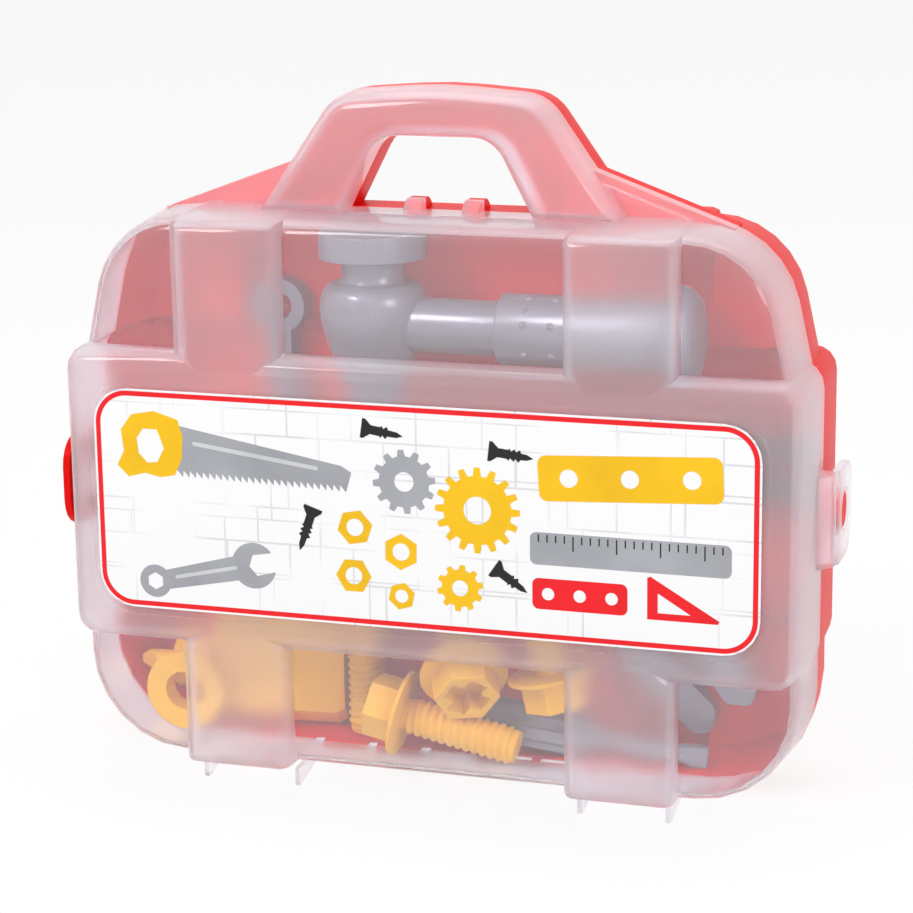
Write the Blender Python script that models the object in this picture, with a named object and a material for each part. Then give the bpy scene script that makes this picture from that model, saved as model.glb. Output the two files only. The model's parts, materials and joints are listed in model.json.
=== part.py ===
"""Toy tool box: a blow-moulded-look case in two halves from one mould, packed with toy tools.

The front half is frosted clear and swings down on a row of snap knuckles along the bottom edge.
The rear half is red and is the same moulding turned half round. A springy ear on each half snaps
over a round boss on the side of the other half. The tools and fixings lie in the rear half.
+Z is up, the front faces -Y, and the parting plane of the two halves is Y = 0.
"""
import math

import bmesh
import bpy
from mathutils import Matrix, Vector

# Shared values
WALL = 0.0020
GAP = 0.0003
SNAP_CLEARANCE = 0.0005
OVERRUN = 0.0040
SMALLEST_RADIUS = 0.0004
BAND_START_SHARE = 1.1
HANDLE_START_SHARE = 1.2
PILLAR_START_SHARE = 0.5
BODY_HOLLOW_SHARE = 1.5
BAND_HOLLOW_SHARE = 1.6
PILLAR_HOLLOW_SHARE = 1.7
HANDLE_HOLLOW_SHARE = 1.8
SMOOTH_ANGLE = math.radians(32)
ARC_STEPS = 5
FILLET_STEPS = 3

# Case, all heights from the ground that the fins stand on
FIN_DROP = 0.0045
CASE_HEIGHT = 0.2650
CASE_HALF_WIDTH = 0.1750
CASE_WIDEST_HEIGHT = 0.1805
CASE_SHOULDER_HALF_WIDTH = 0.15595
CASE_WAIST_HALF_WIDTH = 0.1745
CASE_BOTTOM_RADIUS = 0.0500
CASE_WAIST_RADIUS = 0.0400
CASE_SHOULDER_RADIUS = 0.0450
PANEL_FILLET = 0.0090
BODY_DRAFT = math.radians(4.5)
BODY_BOTTOM = FIN_DROP
BODY_TOP = BODY_BOTTOM + CASE_HEIGHT

# Band that carries the label
BAND_BOTTOM = 0.0638
BAND_HEIGHT = 0.1441
BAND_HALF_WIDTH = 0.1755
BAND_RADIUS = 0.0125
BAND_DEPTH = 0.0500
BAND_STEP = 0.0120
PANEL_DEPTH = BAND_DEPTH - BAND_STEP
BAND_FILLET = 0.0095
DRAFT = math.radians(2.5)
BAND_TOP = BAND_BOTTOM + BAND_HEIGHT

# Pillars over the windows
PILLAR_INNER_X = 0.0649
PILLAR_WIDTH = 0.0555
PILLAR_PROUD = 0.0006
PILLAR_OVERLAP = 0.0158
PILLAR_CHAMFER = 0.0120
PILLAR_FILLET = 0.0070
PILLAR_CORNER = 0.0060
PILLAR_DEPTH = BAND_DEPTH + PILLAR_PROUD

# Label plate in its shallow recess
LABEL_WIDTH = 0.3160
LABEL_HEIGHT = 0.1053
LABEL_RADIUS = 0.0170
LABEL_THICKNESS = 0.0005
LABEL_MARGIN = 0.0035
LABEL_CENTRE_Z = 0.1355
LABEL_RECESS = LABEL_THICKNESS + GAP

# Carrying handle
HANDLE_FOOT_HALF_WIDTH = 0.0860
HANDLE_TOP_HALF_WIDTH = 0.0485
HANDLE_RISE = 0.0535
HANDLE_CROWN = 0.0038
HANDLE_CORNER_RADIUS = 0.0210
HANDLE_CROWN_RADIUS = 0.2000
HANDLE_DEPTH = 0.0225
HANDLE_FILLET = 0.0088
GRIP_FOOT_HALF_WIDTH = 0.0456
GRIP_TOP_HALF_WIDTH = 0.0277
GRIP_RISE = 0.0350
GRIP_RADIUS = 0.0160
GRIP_FLARE = 0.0060

# Webs between handle and shoulders
WEB_HANDLE_X = 0.0717
WEB_HANDLE_RISE = 0.0207
WEB_SHOULDER_X = 0.1355
WEB_SHOULDER_DROP = 0.0028
WEB_THICKNESS = 0.0022
WEB_SINK = 0.0100
WEB_RIM_WIDTH = 0.0045
WEB_RIM_DEPTH = 0.0080

# Fins that the case stands on
FIN_PLACES = (-0.1090, -0.0630, 0.0746, 0.1160)
FIN_THICKNESS = 0.0022
FIN_FRONT_DEPTH = 0.0460
FIN_REAR_DEPTH = 0.0220
FIN_ROOT = 0.0040
FIN_TIP_FLAT = 0.0040

# Lugs that hook the halves together on top of the body
LUG_PLACES = (-0.0140, 0.0140)
LUG_WIDTH = 0.0080
LUG_HEIGHT = 0.0045
LUG_LENGTH = 0.0100

# Snap hinge under the bottom wall
HINGE_DROP = 0.0008
KNUCKLE_RADIUS = 0.0032
PIN_RADIUS = 0.0015
PIN_CLEARANCE = 0.0003
CHEEK_WIDTH = 0.0040
HINGE_INNER_X = 0.0120
HINGE_LENGTH = 0.0580
KNUCKLE_CLEARANCE = 0.0004
CLIP_MOUTH = math.radians(100)
HINGE_Z = BODY_BOTTOM - HINGE_DROP

# Snap ears and the bosses that they close over
EAR_HEIGHT = 0.0440
EAR_REACH = 0.0335
EAR_THICKNESS = 0.0034
EAR_OUTER_X = 0.1830
EAR_CORNER = 0.0140
EAR_HOLE_RADIUS = 0.0100
EAR_HOLE_REACH = 0.0170
BOSS_OUTER_X = 0.1820
BOSS_CHAMFER = 0.0010
BOSS_RADIUS = EAR_HOLE_RADIUS - SNAP_CLEARANCE
RAMP_LENGTH = 0.0140
RAMP_LAND = 0.0030
EAR_PIVOT_X = EAR_OUTER_X - EAR_THICKNESS / 2
EAR_PIVOT_Y = EAR_THICKNESS / 2
RAMP_X = EAR_OUTER_X - EAR_THICKNESS / 2 + SNAP_CLEARANCE

# Inside of the rear half, where the tools lie
REAR_PANEL_Y = PANEL_DEPTH - WALL - GAP
REAR_BAND_Y = BAND_DEPTH - LABEL_RECESS - WALL - GAP
LEDGE_Z = BAND_BOTTOM + WALL + GAP
STRIP_LEDGE_RISE = REAR_BAND_Y * math.tan(DRAFT) + BAND_FILLET - WALL

# Hammer
HAMMER_X = -0.0403
HAMMER_FACE_Z = 0.2559
HAMMER_LENGTH = 0.1000
FACE_RADIUS = 0.0250
FACE_THICKNESS = 0.0120
FACE_CHAMFER = 0.0015
NECK_RADIUS = 0.0145
NECK_LENGTH = 0.0120
BARREL_RADIUS = 0.0250
BARREL_LENGTH = 0.0460
PEEN_RADIUS = 0.0150
PEEN_TIP_RADIUS = 0.0110
HANDLE_AXIS_DROP = 0.0434
SHAFT_RADIUS = 0.0130
SHAFT_END_X = 0.0230
HAMMER_GRIP_RADIUS = 0.0170
HAMMER_GRIP_LENGTH = 0.0780
HAMMER_END_RADIUS = 0.0235
HAMMER_END_LENGTH = 0.0165
HAMMER_END_SHARES = ((1.0, 0.3), (1.0, 0.6), (0.8, 0.9), (0.5, 1.0))
BARREL_SHARES = ((0.78, 0.0), (0.94, 0.08), (1.0, 0.26), (0.94, 0.5), (0.72, 0.85))
SPIGOT_RADIUS = 0.0080
SPIGOT_DEPTH = 0.0060
HAMMER_SEGMENTS = 24

# Drill, upside down with its nose to the left
DRILL_YAW = math.radians(6)
DRILL_TIP_CLEARANCE = 0.0005
DRILL_NOSE_INSET = 0.0203
DRILL_NOSE_Z = 0.0362
DRILL_LENGTH = 0.0660
DRILL_HEIGHT = 0.0540
DRILL_THICKNESS = 0.0260
DRILL_CORNER = 0.0080
DRILL_GRIP_LENGTH = 0.0480
DRILL_GRIP_DEPTH = 0.0300
DRILL_GRIP_THICKNESS = 0.0180
DRILL_GRIP_SETBACK = 0.0140
DRILL_GRIP_LEAN = -0.0080
DRILL_GRIP_CORNER = 0.0050
TRIGGER_LENGTH = 0.0050
TRIGGER_HEIGHT = 0.0120
TRIGGER_THICKNESS = 0.0080
DRILL_NECK_RADIUS = 0.0090
DRILL_NECK_LENGTH = 0.0020
AXLE_RADIUS = 0.0040
AXLE_LENGTH = 0.0090
CHUCK_RADIUS = 0.0130
CHUCK_COLLAR = 0.0090
CHUCK_KNURL = 0.0090
CHUCK_TAPER = 0.0020
CHUCK_NOSE_RADIUS = 0.0090
CHUCK_BORE_DEPTH = 0.0105
KNURL_DEPTH = 0.0008
KNURL_COUNT = 16
BIT_RADIUS = 0.0045
BIT_REACH = 0.0175
BIT_SOCKET = 0.0080
BIT_TIP_LENGTH = 0.0080
BIT_TIP_THICKNESS = 0.0030
CHUCK_LENGTH = CHUCK_COLLAR + CHUCK_KNURL + CHUCK_TAPER

# Bolts and nuts
FLANGE_RADIUS = 0.0210
FLANGE_THICKNESS = 0.0022
HEX_FLATS = 0.0270
HEX_HEIGHT = 0.0150
CUP_WALL = 0.0026
CUP_DEPTH = 0.0100
SHANK_RADIUS = 0.0091
SHANK_LENGTH = 0.0570
SHANK_CHAMFER = 0.0020
BOLT_SEGMENTS = 16
NUT_HEIGHT = 0.0112
NUT_FLATS = 0.0300
NUT_RADIUS = 0.0197
NUT_CLEARANCE = 0.0006

# Building strips
STRIP_WIDTH = 0.0360
STRIP_THICKNESS = 0.0030
LONG_STRIP = 0.1900
SHORT_STRIP = 0.1500
STRIP_HOLE_RADIUS = 0.0095
STRIP_PITCH = 0.0460
STRIP_END_SHARE = 0.999
LONG_STRIP_X = -0.0600
SHORT_STRIP_X = 0.0050

# Split pins
SPLIT_PIN_LENGTH = 0.0450
SPLIT_HEAD_RADIUS = 0.0100
SPLIT_HEAD_LENGTH = 0.0060
SPLIT_SHAFT_RADIUS = 0.0050
SPLIT_TIP_RADIUS = 0.0058
SPLIT_SLOT = 0.0022
SPLIT_SLOT_LENGTH = 0.0260
SPLIT_PIN_X = 0.0800
SPLIT_PIN_Z = 0.1365

# Wrench
WRENCH_X = -0.0980
WRENCH_RING_RADIUS = 0.0135
WRENCH_RING_HOLE = 0.0070
WRENCH_LENGTH = 0.1510
WRENCH_THICKNESS = 0.0110
WRENCH_SHANK = 0.0150
WRENCH_TAPER_SHARE = 0.8
WRENCH_HEAD_WIDTH = 0.0440
WRENCH_HEAD_LENGTH = 0.0300
WRENCH_FIXED_JAW = 0.0130
WRENCH_JAW_LENGTH = 0.0230
WRENCH_MOVING_JAW = 0.0110
WRENCH_OPENING = 0.0060
WRENCH_KEY = 0.0050
WORM_RADIUS = 0.0045
WORM_LENGTH = 0.0100
WORM_GROOVE = 0.0009
WORM_TURNS = 4

# Screwdriver, lying on the floor of the case with its blade to the right
SCREWDRIVER_TIP_INSET = 0.0020
SCREWDRIVER_CLEARANCE = 0.0006
SCREWDRIVER_GRIP_RADIUS = 0.0110
SCREWDRIVER_GRIP_LENGTH = 0.0700
SCREWDRIVER_FLUTES = 6
SCREWDRIVER_FLUTE_RADIUS = 0.0040
BLADE_RADIUS = 0.0045
BLADE_LENGTH = 0.0550
BLADE_SOCKET = 0.0200
BLADE_TIP_WIDTH = 0.0100
BLADE_TIP_THICKNESS = 0.0030
BLADE_TIP_LENGTH = 0.0140

# Pliers
PLIERS_X = 0.0600
PLIERS_Z = 0.1085
PLIERS_ANGLE = math.radians(-49.5)
PLIERS_THICKNESS = 0.0068
PLIERS_HANDLE_LENGTH = 0.1080
PLIERS_HANDLE_WIDTH = 0.0170
PLIERS_END_RADIUS = 0.0045
PLIERS_BOW_SHARE = 0.35
PLIERS_EDGE_SHARES = (1.6, 1.25, 0.8, 0.25, 0.6)
PLIERS_JAW_LENGTH = 0.0520
PLIERS_JAW_WIDTH = 0.0130
PLIERS_TIP_WIDTH = 0.0060
PLIERS_EYE_RADIUS = 0.0140
PLIERS_PIN_RADIUS = 0.0050
PLIERS_PIN_HEAD = 0.0080
PLIERS_PIN_HEAD_THICKNESS = 0.0020


# Where the loose fixings lie
BOLT_ONE_X = -0.0220
BOLT_ONE_CLEARANCE = 0.0017
BOLT_TWO_X = 0.0100
BOLT_TWO_INSET = 0.0217
BOLT_TWO_CLEARANCE = 0.0003
BOLT_TWO_END_INSET = 0.0012
BOLT_TWO_ACROSS_SHARE = -0.35
BOLT_TWO_DEPTH_SHARE = 0.82
BOLT_THREE_INSET = 0.0297
BOLT_THREE_RISE = 0.0010
BOLT_THREE_LEAN = math.radians(11.5)
BOLT_FOUR_INSET = 0.0022
BOLT_FOUR_CLEARANCE = 0.0008
NUT_ONE_ACROSS = -0.0090
NUT_ONE_CLEARANCE = 0.0014
NUT_ROW_X = -0.0370


def clear_scene():
    for item in list(bpy.data.objects):
        bpy.data.objects.remove(item)


def make_material(name, colour, roughness, metallic=0.0, alpha=1.0):
    material = bpy.data.materials.new(name)
    material.use_nodes = True
    shader = material.node_tree.nodes["Principled BSDF"]
    shader.inputs["Base Color"].default_value = (*colour, 1.0)
    shader.inputs["Roughness"].default_value = roughness
    shader.inputs["Metallic"].default_value = metallic
    shader.inputs["Alpha"].default_value = alpha
    return material


def from_bmesh(name, shape):
    bmesh.ops.recalc_face_normals(shape, faces=shape.faces)
    mesh = bpy.data.meshes.new(name)
    shape.to_mesh(mesh)
    shape.free()
    item = bpy.data.objects.new(name, mesh)
    bpy.context.collection.objects.link(item)
    return item


def loft(name, rings):
    """Closed skin over rings that all have the same number of points."""
    shape = bmesh.new()
    loops = [[shape.verts.new(point) for point in ring] for ring in rings]
    for lower, upper in zip(loops, loops[1:]):
        for index in range(len(lower)):
            after = (index + 1) % len(lower)
            shape.faces.new((lower[index], lower[after], upper[after], upper[index]))
    shape.faces.new(loops[0])
    shape.faces.new(loops[-1])
    return from_bmesh(name, shape)


def lathe(name, profile, segments):
    """Turned solid about local Z. The profile is (radius, height) pairs, flat at both ends."""
    rings = []
    for radius, height in profile:
        ring = []
        for index in range(segments):
            angle = 2 * math.pi * index / segments
            ring.append((radius * math.cos(angle), radius * math.sin(angle), height))
        rings.append(ring)
    return loft(name, rings)


def prism(name, outline, low, high):
    """Outline in local XY carried from one height to another."""
    return loft(name, [[(x, y, height) for x, y in outline] for height in (low, high)])


def box(name, corner, opposite):
    x0, y0, z0 = corner
    x1, y1, z1 = opposite
    outline = ((x0, y0), (x1, y0), (x1, y1), (x0, y1))
    return prism(name, outline, z0, z1)


def combine(target, tools, operation):
    """Boolean of the target with each tool in turn. The tools are used up."""
    for tool in tools:
        modifier = target.modifiers.new(tool.name, "BOOLEAN")
        modifier.object = tool
        modifier.operation = operation
    graph = bpy.context.evaluated_depsgraph_get()
    mesh = bpy.data.meshes.new_from_object(target.evaluated_get(graph))
    target.modifiers.clear()
    target.data = mesh
    for tool in tools:
        bpy.data.objects.remove(tool)
    return target


def join(target, *tools):
    return combine(target, tools, "UNION")


def cut(target, *tools):
    return combine(target, tools, "DIFFERENCE")


def move_mesh(item, matrix):
    item.data.transform(matrix)
    return item


def finish(item, material, location=(0.0, 0.0, 0.0), rotation=(0.0, 0.0, 0.0)):
    item.data.materials.clear()
    item.data.materials.append(material)
    item.data.shade_smooth()
    item.data.set_sharp_from_angle(angle=SMOOTH_ANGLE)
    item.location = location
    item.rotation_euler = rotation
    return item


def rounded_outline(corners, inset=0.0):
    """Outline from (x, z, radius, steps) corners, drawn in by the inset."""
    points = []
    places = [Vector(corner[:2]) for corner in corners]
    for index, (_, _, radius, steps) in enumerate(corners):
        here = places[index]
        arriving = (here - places[index - 1]).normalized()
        leaving = (places[(index + 1) % len(places)] - here).normalized()
        first = Vector((-arriving.y, arriving.x))
        second = Vector((-leaving.y, leaving.x))
        mitre = (first + second) / (1 + first.dot(second))
        if steps == 0:
            points.append(here + mitre * inset)
            continue
        bend = max(radius - inset, SMALLEST_RADIUS)
        centre = here + mitre * (inset + bend)
        turn = first.angle_signed(second)
        for step in range(steps + 1):
            direction = Matrix.Rotation(-turn * step / steps, 2) @ first
            points.append(centre - direction * bend)
    return points


def depth_ring(outline, depth):
    """Outline of one half of the case at a depth in front of the parting plane."""
    return [(point[0], -depth, point[1]) for point in outline]


def moulding(name, corners, start, depth, fillet, draft, wall=0.0):
    """Drafted solid with a rounded front edge, or its inside when a wall is given."""
    slope = math.tan(draft)
    bottom = depth - wall
    bend = max(fillet - wall, SMALLEST_RADIUS)
    straight = bottom - bend
    rings = [depth_ring(rounded_outline(corners, wall - slope * start), -start)]
    steps = FILLET_STEPS - 1 if wall else FILLET_STEPS
    for step in range(steps + 1):
        angle = math.pi / 2 * step / steps
        inset = wall + slope * straight + bend * (1 - math.cos(angle))
        place = straight + bend * math.sin(angle)
        rings.append(depth_ring(rounded_outline(corners, inset), place))
    return loft(name, rings)


def body_corners():
    steps = ARC_STEPS + 1
    right = (
        (CASE_HALF_WIDTH, BODY_BOTTOM, CASE_BOTTOM_RADIUS, steps),
        (CASE_WAIST_HALF_WIDTH, CASE_WIDEST_HEIGHT + FIN_DROP, CASE_WAIST_RADIUS, 1),
        (CASE_SHOULDER_HALF_WIDTH, BODY_TOP, CASE_SHOULDER_RADIUS, steps),
    )
    left = tuple((-x, z, radius, count) for x, z, radius, count in reversed(right))
    return right + left


def band_corners():
    steps = ARC_STEPS - 1
    return (
        (-BAND_HALF_WIDTH, BAND_BOTTOM, BAND_RADIUS, steps),
        (BAND_HALF_WIDTH, BAND_BOTTOM, BAND_RADIUS, steps),
        (BAND_HALF_WIDTH, BAND_TOP, BAND_RADIUS, steps),
        (-BAND_HALF_WIDTH, BAND_TOP, BAND_RADIUS, steps),
    )


def pillar_corners(side, upper):
    near = side * PILLAR_INNER_X
    far = side * (PILLAR_INNER_X + PILLAR_WIDTH)
    left, right = min(near, far), max(near, far)
    if upper:
        end, tail = BAND_TOP - PILLAR_OVERLAP, BODY_TOP
    else:
        end, tail = BAND_BOTTOM + PILLAR_OVERLAP, BODY_BOTTOM
    chamfer = PILLAR_CHAMFER if upper else -PILLAR_CHAMFER
    corners = [
        (left + PILLAR_CHAMFER, end, 0.0, 0),
        (right - PILLAR_CHAMFER, end, 0.0, 0),
        (right, end + chamfer, 0.0, 0),
        (right, tail, PILLAR_CORNER, 2),
        (left, tail, PILLAR_CORNER, 2),
        (left, end + chamfer, 0.0, 0),
    ]
    return corners if upper else corners[::-1]


def handle_corners():
    foot = BODY_TOP - WALL - GAP
    slope = (HANDLE_FOOT_HALF_WIDTH - HANDLE_TOP_HALF_WIDTH) / HANDLE_RISE
    spread = HANDLE_FOOT_HALF_WIDTH + slope * (BODY_TOP - foot)
    top = BODY_TOP + HANDLE_RISE
    return (
        (-spread, foot, 0.0, 0),
        (spread, foot, 0.0, 0),
        (HANDLE_TOP_HALF_WIDTH, top, HANDLE_CORNER_RADIUS, ARC_STEPS),
        (0.0, top + HANDLE_CROWN, HANDLE_CROWN_RADIUS, 2),
        (-HANDLE_TOP_HALF_WIDTH, top, HANDLE_CORNER_RADIUS, ARC_STEPS),
    )


def grip_opening(name, wall, sill):
    """Hole for the fingers with its flared rim, or its outer skin when a wall is given."""
    slope = (GRIP_FOOT_HALF_WIDTH - GRIP_TOP_HALF_WIDTH) / GRIP_RISE
    foot = BODY_TOP - CASE_SHOULDER_RADIUS
    spread = GRIP_FOOT_HALF_WIDTH + slope * CASE_SHOULDER_RADIUS
    top = BODY_TOP + GRIP_RISE
    corners = (
        (-spread, foot, 0.0, 0),
        (spread, foot, 0.0, 0),
        (GRIP_TOP_HALF_WIDTH, top, GRIP_RADIUS, ARC_STEPS),
        (-GRIP_TOP_HALF_WIDTH, top, GRIP_RADIUS, ARC_STEPS),
    )
    bend = GRIP_FLARE - wall
    rings = [depth_ring(rounded_outline(corners, -wall), -2 * OVERRUN)]
    for step in range(FILLET_STEPS + 1):
        angle = math.pi / 2 * step / FILLET_STEPS
        inset = bend * math.cos(angle) - GRIP_FLARE
        place = HANDLE_DEPTH - GRIP_FLARE + bend * math.sin(angle)
        rings.append(depth_ring(rounded_outline(corners, inset), place))
    rings.append(depth_ring(rounded_outline(corners, -GRIP_FLARE), HANDLE_DEPTH + OVERRUN))
    return keep_above(loft(name, rings), sill)


def keep_above(item, height):
    """Cuts away everything lower than the height."""
    reach = CASE_HALF_WIDTH
    low = box("below", (-reach, -reach, -reach), (reach, reach, height))
    return cut(item, low)


def web(side):
    """Thin web with a deeper rim that runs from the handle foot to the shoulder."""
    start = Vector((side * WEB_HANDLE_X, BODY_TOP + WEB_HANDLE_RISE))
    end = Vector((side * WEB_SHOULDER_X, BODY_TOP - WEB_SHOULDER_DROP))
    along = (end - start).normalized()
    inward = Vector((-side * abs(along.y), -abs(along.x)))
    deep = Vector((0.0, -WEB_SINK))
    start = start - along * WEB_SINK
    end = end + along * SMALLEST_RADIUS
    foot = Vector((start.x, BODY_TOP - WEB_SINK))
    plate = (start, end, end + deep, foot)
    rim = (start, end, end + inward * WEB_RIM_WIDTH, start + inward * WEB_RIM_WIDTH)
    plate_rings = [depth_ring(plate, place) for place in (-OVERRUN, WEB_THICKNESS)]
    rim_rings = [depth_ring(rim, place) for place in (-OVERRUN, WEB_RIM_DEPTH)]
    return loft("web", plate_rings), loft("web_rim", rim_rings)


def fin(place):
    """Thin foot under the bottom wall, drawn as a blade in the depth direction."""
    profile = (
        (FIN_FRONT_DEPTH, BODY_BOTTOM + FIN_ROOT),
        (FIN_FRONT_DEPTH, 0.0),
        (FIN_FRONT_DEPTH - FIN_TIP_FLAT, 0.0),
        (FIN_REAR_DEPTH, BODY_BOTTOM),
        (FIN_REAR_DEPTH, BODY_BOTTOM + FIN_ROOT),
    )
    half = FIN_THICKNESS / 2
    rings = [[(x, -depth, height) for depth, height in profile] for x in (place - half, place + half)]
    return loft("fin", rings)


def lug(place):
    """Small hook on the top wall beside the parting plane."""
    root = BODY_TOP - WALL / 2
    tip = BODY_TOP + LUG_HEIGHT
    profile = (
        (GAP / 2, root),
        (LUG_LENGTH, root),
        (LUG_LENGTH - LUG_HEIGHT / 2, tip - LUG_HEIGHT / 2),
        (LUG_HEIGHT, tip),
        (GAP / 2, tip),
    )
    half = LUG_WIDTH / 2
    rings = [[(x, -depth, height) for depth, height in profile] for x in (place - half, place + half)]
    return loft("lug", rings)


def turned_along_x(name, profile, segments, y, z):
    """Turned solid about a line along X. The profile is (radius, x) pairs."""
    item = lathe(name, profile, segments)
    turn = Matrix.Rotation(math.pi / 2, 4, "Y")
    return move_mesh(item, Matrix.Translation((0.0, y, z)) @ turn)


def boss():
    """Round boss on the left side, under the ear of the other half."""
    profile = (
        (BOSS_RADIUS, CASE_HALF_WIDTH - EAR_CORNER / 2),
        (BOSS_RADIUS, BOSS_OUTER_X - BOSS_CHAMFER),
        (BOSS_RADIUS - BOSS_CHAMFER, BOSS_OUTER_X),
    )
    mirrored = [(radius, -x) for radius, x in profile]
    return turned_along_x("boss", mirrored, HAMMER_SEGMENTS, -EAR_HOLE_REACH, LABEL_CENTRE_Z)


def ramp(wall):
    """Swelling of the right side that leads out to the root of the ear."""
    root = CASE_HALF_WIDTH - WALL - wall
    front = RAMP_LENGTH - wall
    face = WALL if wall else GAP * 2
    profile = (
        (root - wall, front),
        (root, front),
        (RAMP_X - wall, RAMP_LAND),
        (RAMP_X - wall, face),
        (root - wall, face),
    )
    half = EAR_HEIGHT / 2 - wall
    rings = []
    for height in (LABEL_CENTRE_Z - half, LABEL_CENTRE_Z + half):
        rings.append([(x, -depth, height) for x, depth in profile])
    return loft("ramp", rings)


def pin_section(start):
    """Cheeks with a pin between them, for the clips of the other half."""
    end = start + HINGE_LENGTH
    middle = (start + end) / 2
    places = (start, middle - CHEEK_WIDTH / 2, end - CHEEK_WIDTH)
    pieces = [hinge_round(KNUCKLE_RADIUS, place, place + CHEEK_WIDTH) for place in places]
    pieces.append(hinge_round(PIN_RADIUS, start + WALL, end - WALL))
    return pieces


def hinge_round(radius, start, end):
    segments = BOLT_SEGMENTS
    return turned_along_x("round", ((radius, start), (radius, end)), segments, 0.0, HINGE_Z)


def clip_spans(start):
    """Two spans between the cheeks of a pin section that begins at the place given."""
    middle = start + HINGE_LENGTH / 2
    half = CHEEK_WIDTH / 2
    first = (start + CHEEK_WIDTH, middle - half)
    second = (middle + half, start + HINGE_LENGTH - CHEEK_WIDTH)
    return [(low + KNUCKLE_CLEARANCE, high - KNUCKLE_CLEARANCE) for low, high in (first, second)]


def clip(low, high):
    """Ring with a mouth, which snaps round the pin of the other half."""
    outer = hinge_round(KNUCKLE_RADIUS, low, high)
    bore = hinge_round(PIN_RADIUS + PIN_CLEARANCE, low - OVERRUN, high + OVERRUN)
    reach = KNUCKLE_RADIUS + OVERRUN
    half = CLIP_MOUTH / 2
    profile = (
        (0.0, 0.0),
        (reach * math.cos(half), reach * math.sin(half)),
        (reach, 0.0),
        (reach * math.cos(half), -reach * math.sin(half)),
    )
    rings = [[(x, y, HINGE_Z - z) for z, y in profile] for x in (low - OVERRUN, high + OVERRUN)]
    return cut(outer, bore, loft("mouth", rings))


def hinge_notch(start):
    """Room in the bottom wall for the knuckles of the other half."""
    side = KNUCKLE_CLEARANCE
    reach = KNUCKLE_RADIUS + KNUCKLE_CLEARANCE
    low = (start - side, -reach, HINGE_Z - reach)
    high = (start + HINGE_LENGTH + side, reach, HINGE_Z + reach)
    return box("notch", low, high)


def pillars(name, start, wall):
    """The four pillars, or their insides when a wall is given."""
    pieces = []
    for side in (-1, 1):
        for upper in (True, False):
            corners = pillar_corners(side, upper)
            pieces.append(moulding(name, corners, start, PILLAR_DEPTH, PILLAR_FILLET, DRAFT, wall))
    return pieces


def half_case(name):
    """One half of the case. Both halves come from this moulding."""
    solid = moulding(name, body_corners(), OVERRUN, PANEL_DEPTH, PANEL_FILLET, BODY_DRAFT)
    start = OVERRUN * BAND_START_SHARE
    parts = [moulding("band", band_corners(), start, BAND_DEPTH, BAND_FILLET, DRAFT)]
    parts.extend(pillars("pillar", OVERRUN * PILLAR_START_SHARE, 0.0))
    start = OVERRUN * HANDLE_START_SHARE
    parts.append(moulding("handle", handle_corners(), start, HANDLE_DEPTH, HANDLE_FILLET, DRAFT))
    for side in (-1, 1):
        parts.extend(web(side))
    parts.extend(fin(place) for place in FIN_PLACES)
    parts.extend((boss(), ramp(0.0)))
    join(solid, *parts)

    start = OVERRUN * BODY_HOLLOW_SHARE
    hollow = [moulding("body_in", body_corners(), start, PANEL_DEPTH, PANEL_FILLET, BODY_DRAFT, WALL)]
    start = OVERRUN * BAND_HOLLOW_SHARE
    depth = BAND_DEPTH - LABEL_RECESS
    hollow.append(moulding("band_in", band_corners(), start, depth, BAND_FILLET, DRAFT, WALL))
    hollow.extend(pillars("pillar_in", OVERRUN * PILLAR_HOLLOW_SHARE, WALL))
    start = OVERRUN * HANDLE_HOLLOW_SHARE
    channel = moulding("channel", handle_corners(), start, HANDLE_DEPTH, HANDLE_FILLET, DRAFT, WALL)
    sill = BODY_TOP + GAP
    channel = cut(keep_above(channel, sill), grip_opening("skin", WALL, sill - WALL))
    hollow.append(channel)
    hollow.append(grip_opening("opening", 0.0, BODY_TOP - GAP * 2))
    hollow.append(ramp(WALL))
    hollow.append(label_recess())
    reach = CASE_HALF_WIDTH * 2
    hollow.append(box("parting", (-reach, -GAP / 2, -reach), (reach, reach, reach * 2)))
    hollow.append(hinge_notch(HINGE_INNER_X))
    hollow.append(hinge_notch(-HINGE_INNER_X - HINGE_LENGTH))
    cut(solid, *hollow)

    knuckles = pin_section(-HINGE_INNER_X - HINGE_LENGTH)
    knuckles.extend(clip(low, high) for low, high in clip_spans(HINGE_INNER_X))
    knuckles.extend(wall_tie(low, high) for low, high in tie_spans())
    knuckles.extend(lug(place) for place in LUG_PLACES)
    return join(solid, *knuckles)


def tie_spans():
    """Where knuckles join their own bottom wall."""
    start = -HINGE_INNER_X - HINGE_LENGTH
    middle = start + HINGE_LENGTH / 2
    places = (start, middle - CHEEK_WIDTH / 2, start + HINGE_LENGTH - CHEEK_WIDTH)
    spans = [(place, place + CHEEK_WIDTH) for place in places]
    return spans + clip_spans(HINGE_INNER_X)


def wall_tie(low, high):
    """Short piece of wall from a knuckle back to the edge of the notch."""
    front = KNUCKLE_RADIUS + KNUCKLE_CLEARANCE + WALL
    back = PIN_RADIUS + PIN_CLEARANCE + WALL / 4
    bottom = HINGE_Z + HINGE_DROP
    return box("tie", (low, -front, bottom - HINGE_DROP / 2), (high, -back, bottom + WALL))


def label_recess():
    corners = label_corners(LABEL_MARGIN)
    outline = rounded_outline(corners)
    depths = (BAND_DEPTH - LABEL_RECESS, BAND_DEPTH + OVERRUN)
    return loft("recess", [depth_ring(outline, depth) for depth in depths])


def label_corners(margin):
    half_width = LABEL_WIDTH / 2 + margin
    low = LABEL_CENTRE_Z - LABEL_HEIGHT / 2 - margin
    high = LABEL_CENTRE_Z + LABEL_HEIGHT / 2 + margin
    radius = LABEL_RADIUS + margin
    return (
        (-half_width, low, radius, ARC_STEPS),
        (half_width, low, radius, ARC_STEPS),
        (half_width, high, radius, ARC_STEPS),
        (-half_width, high, radius, ARC_STEPS),
    )


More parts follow.
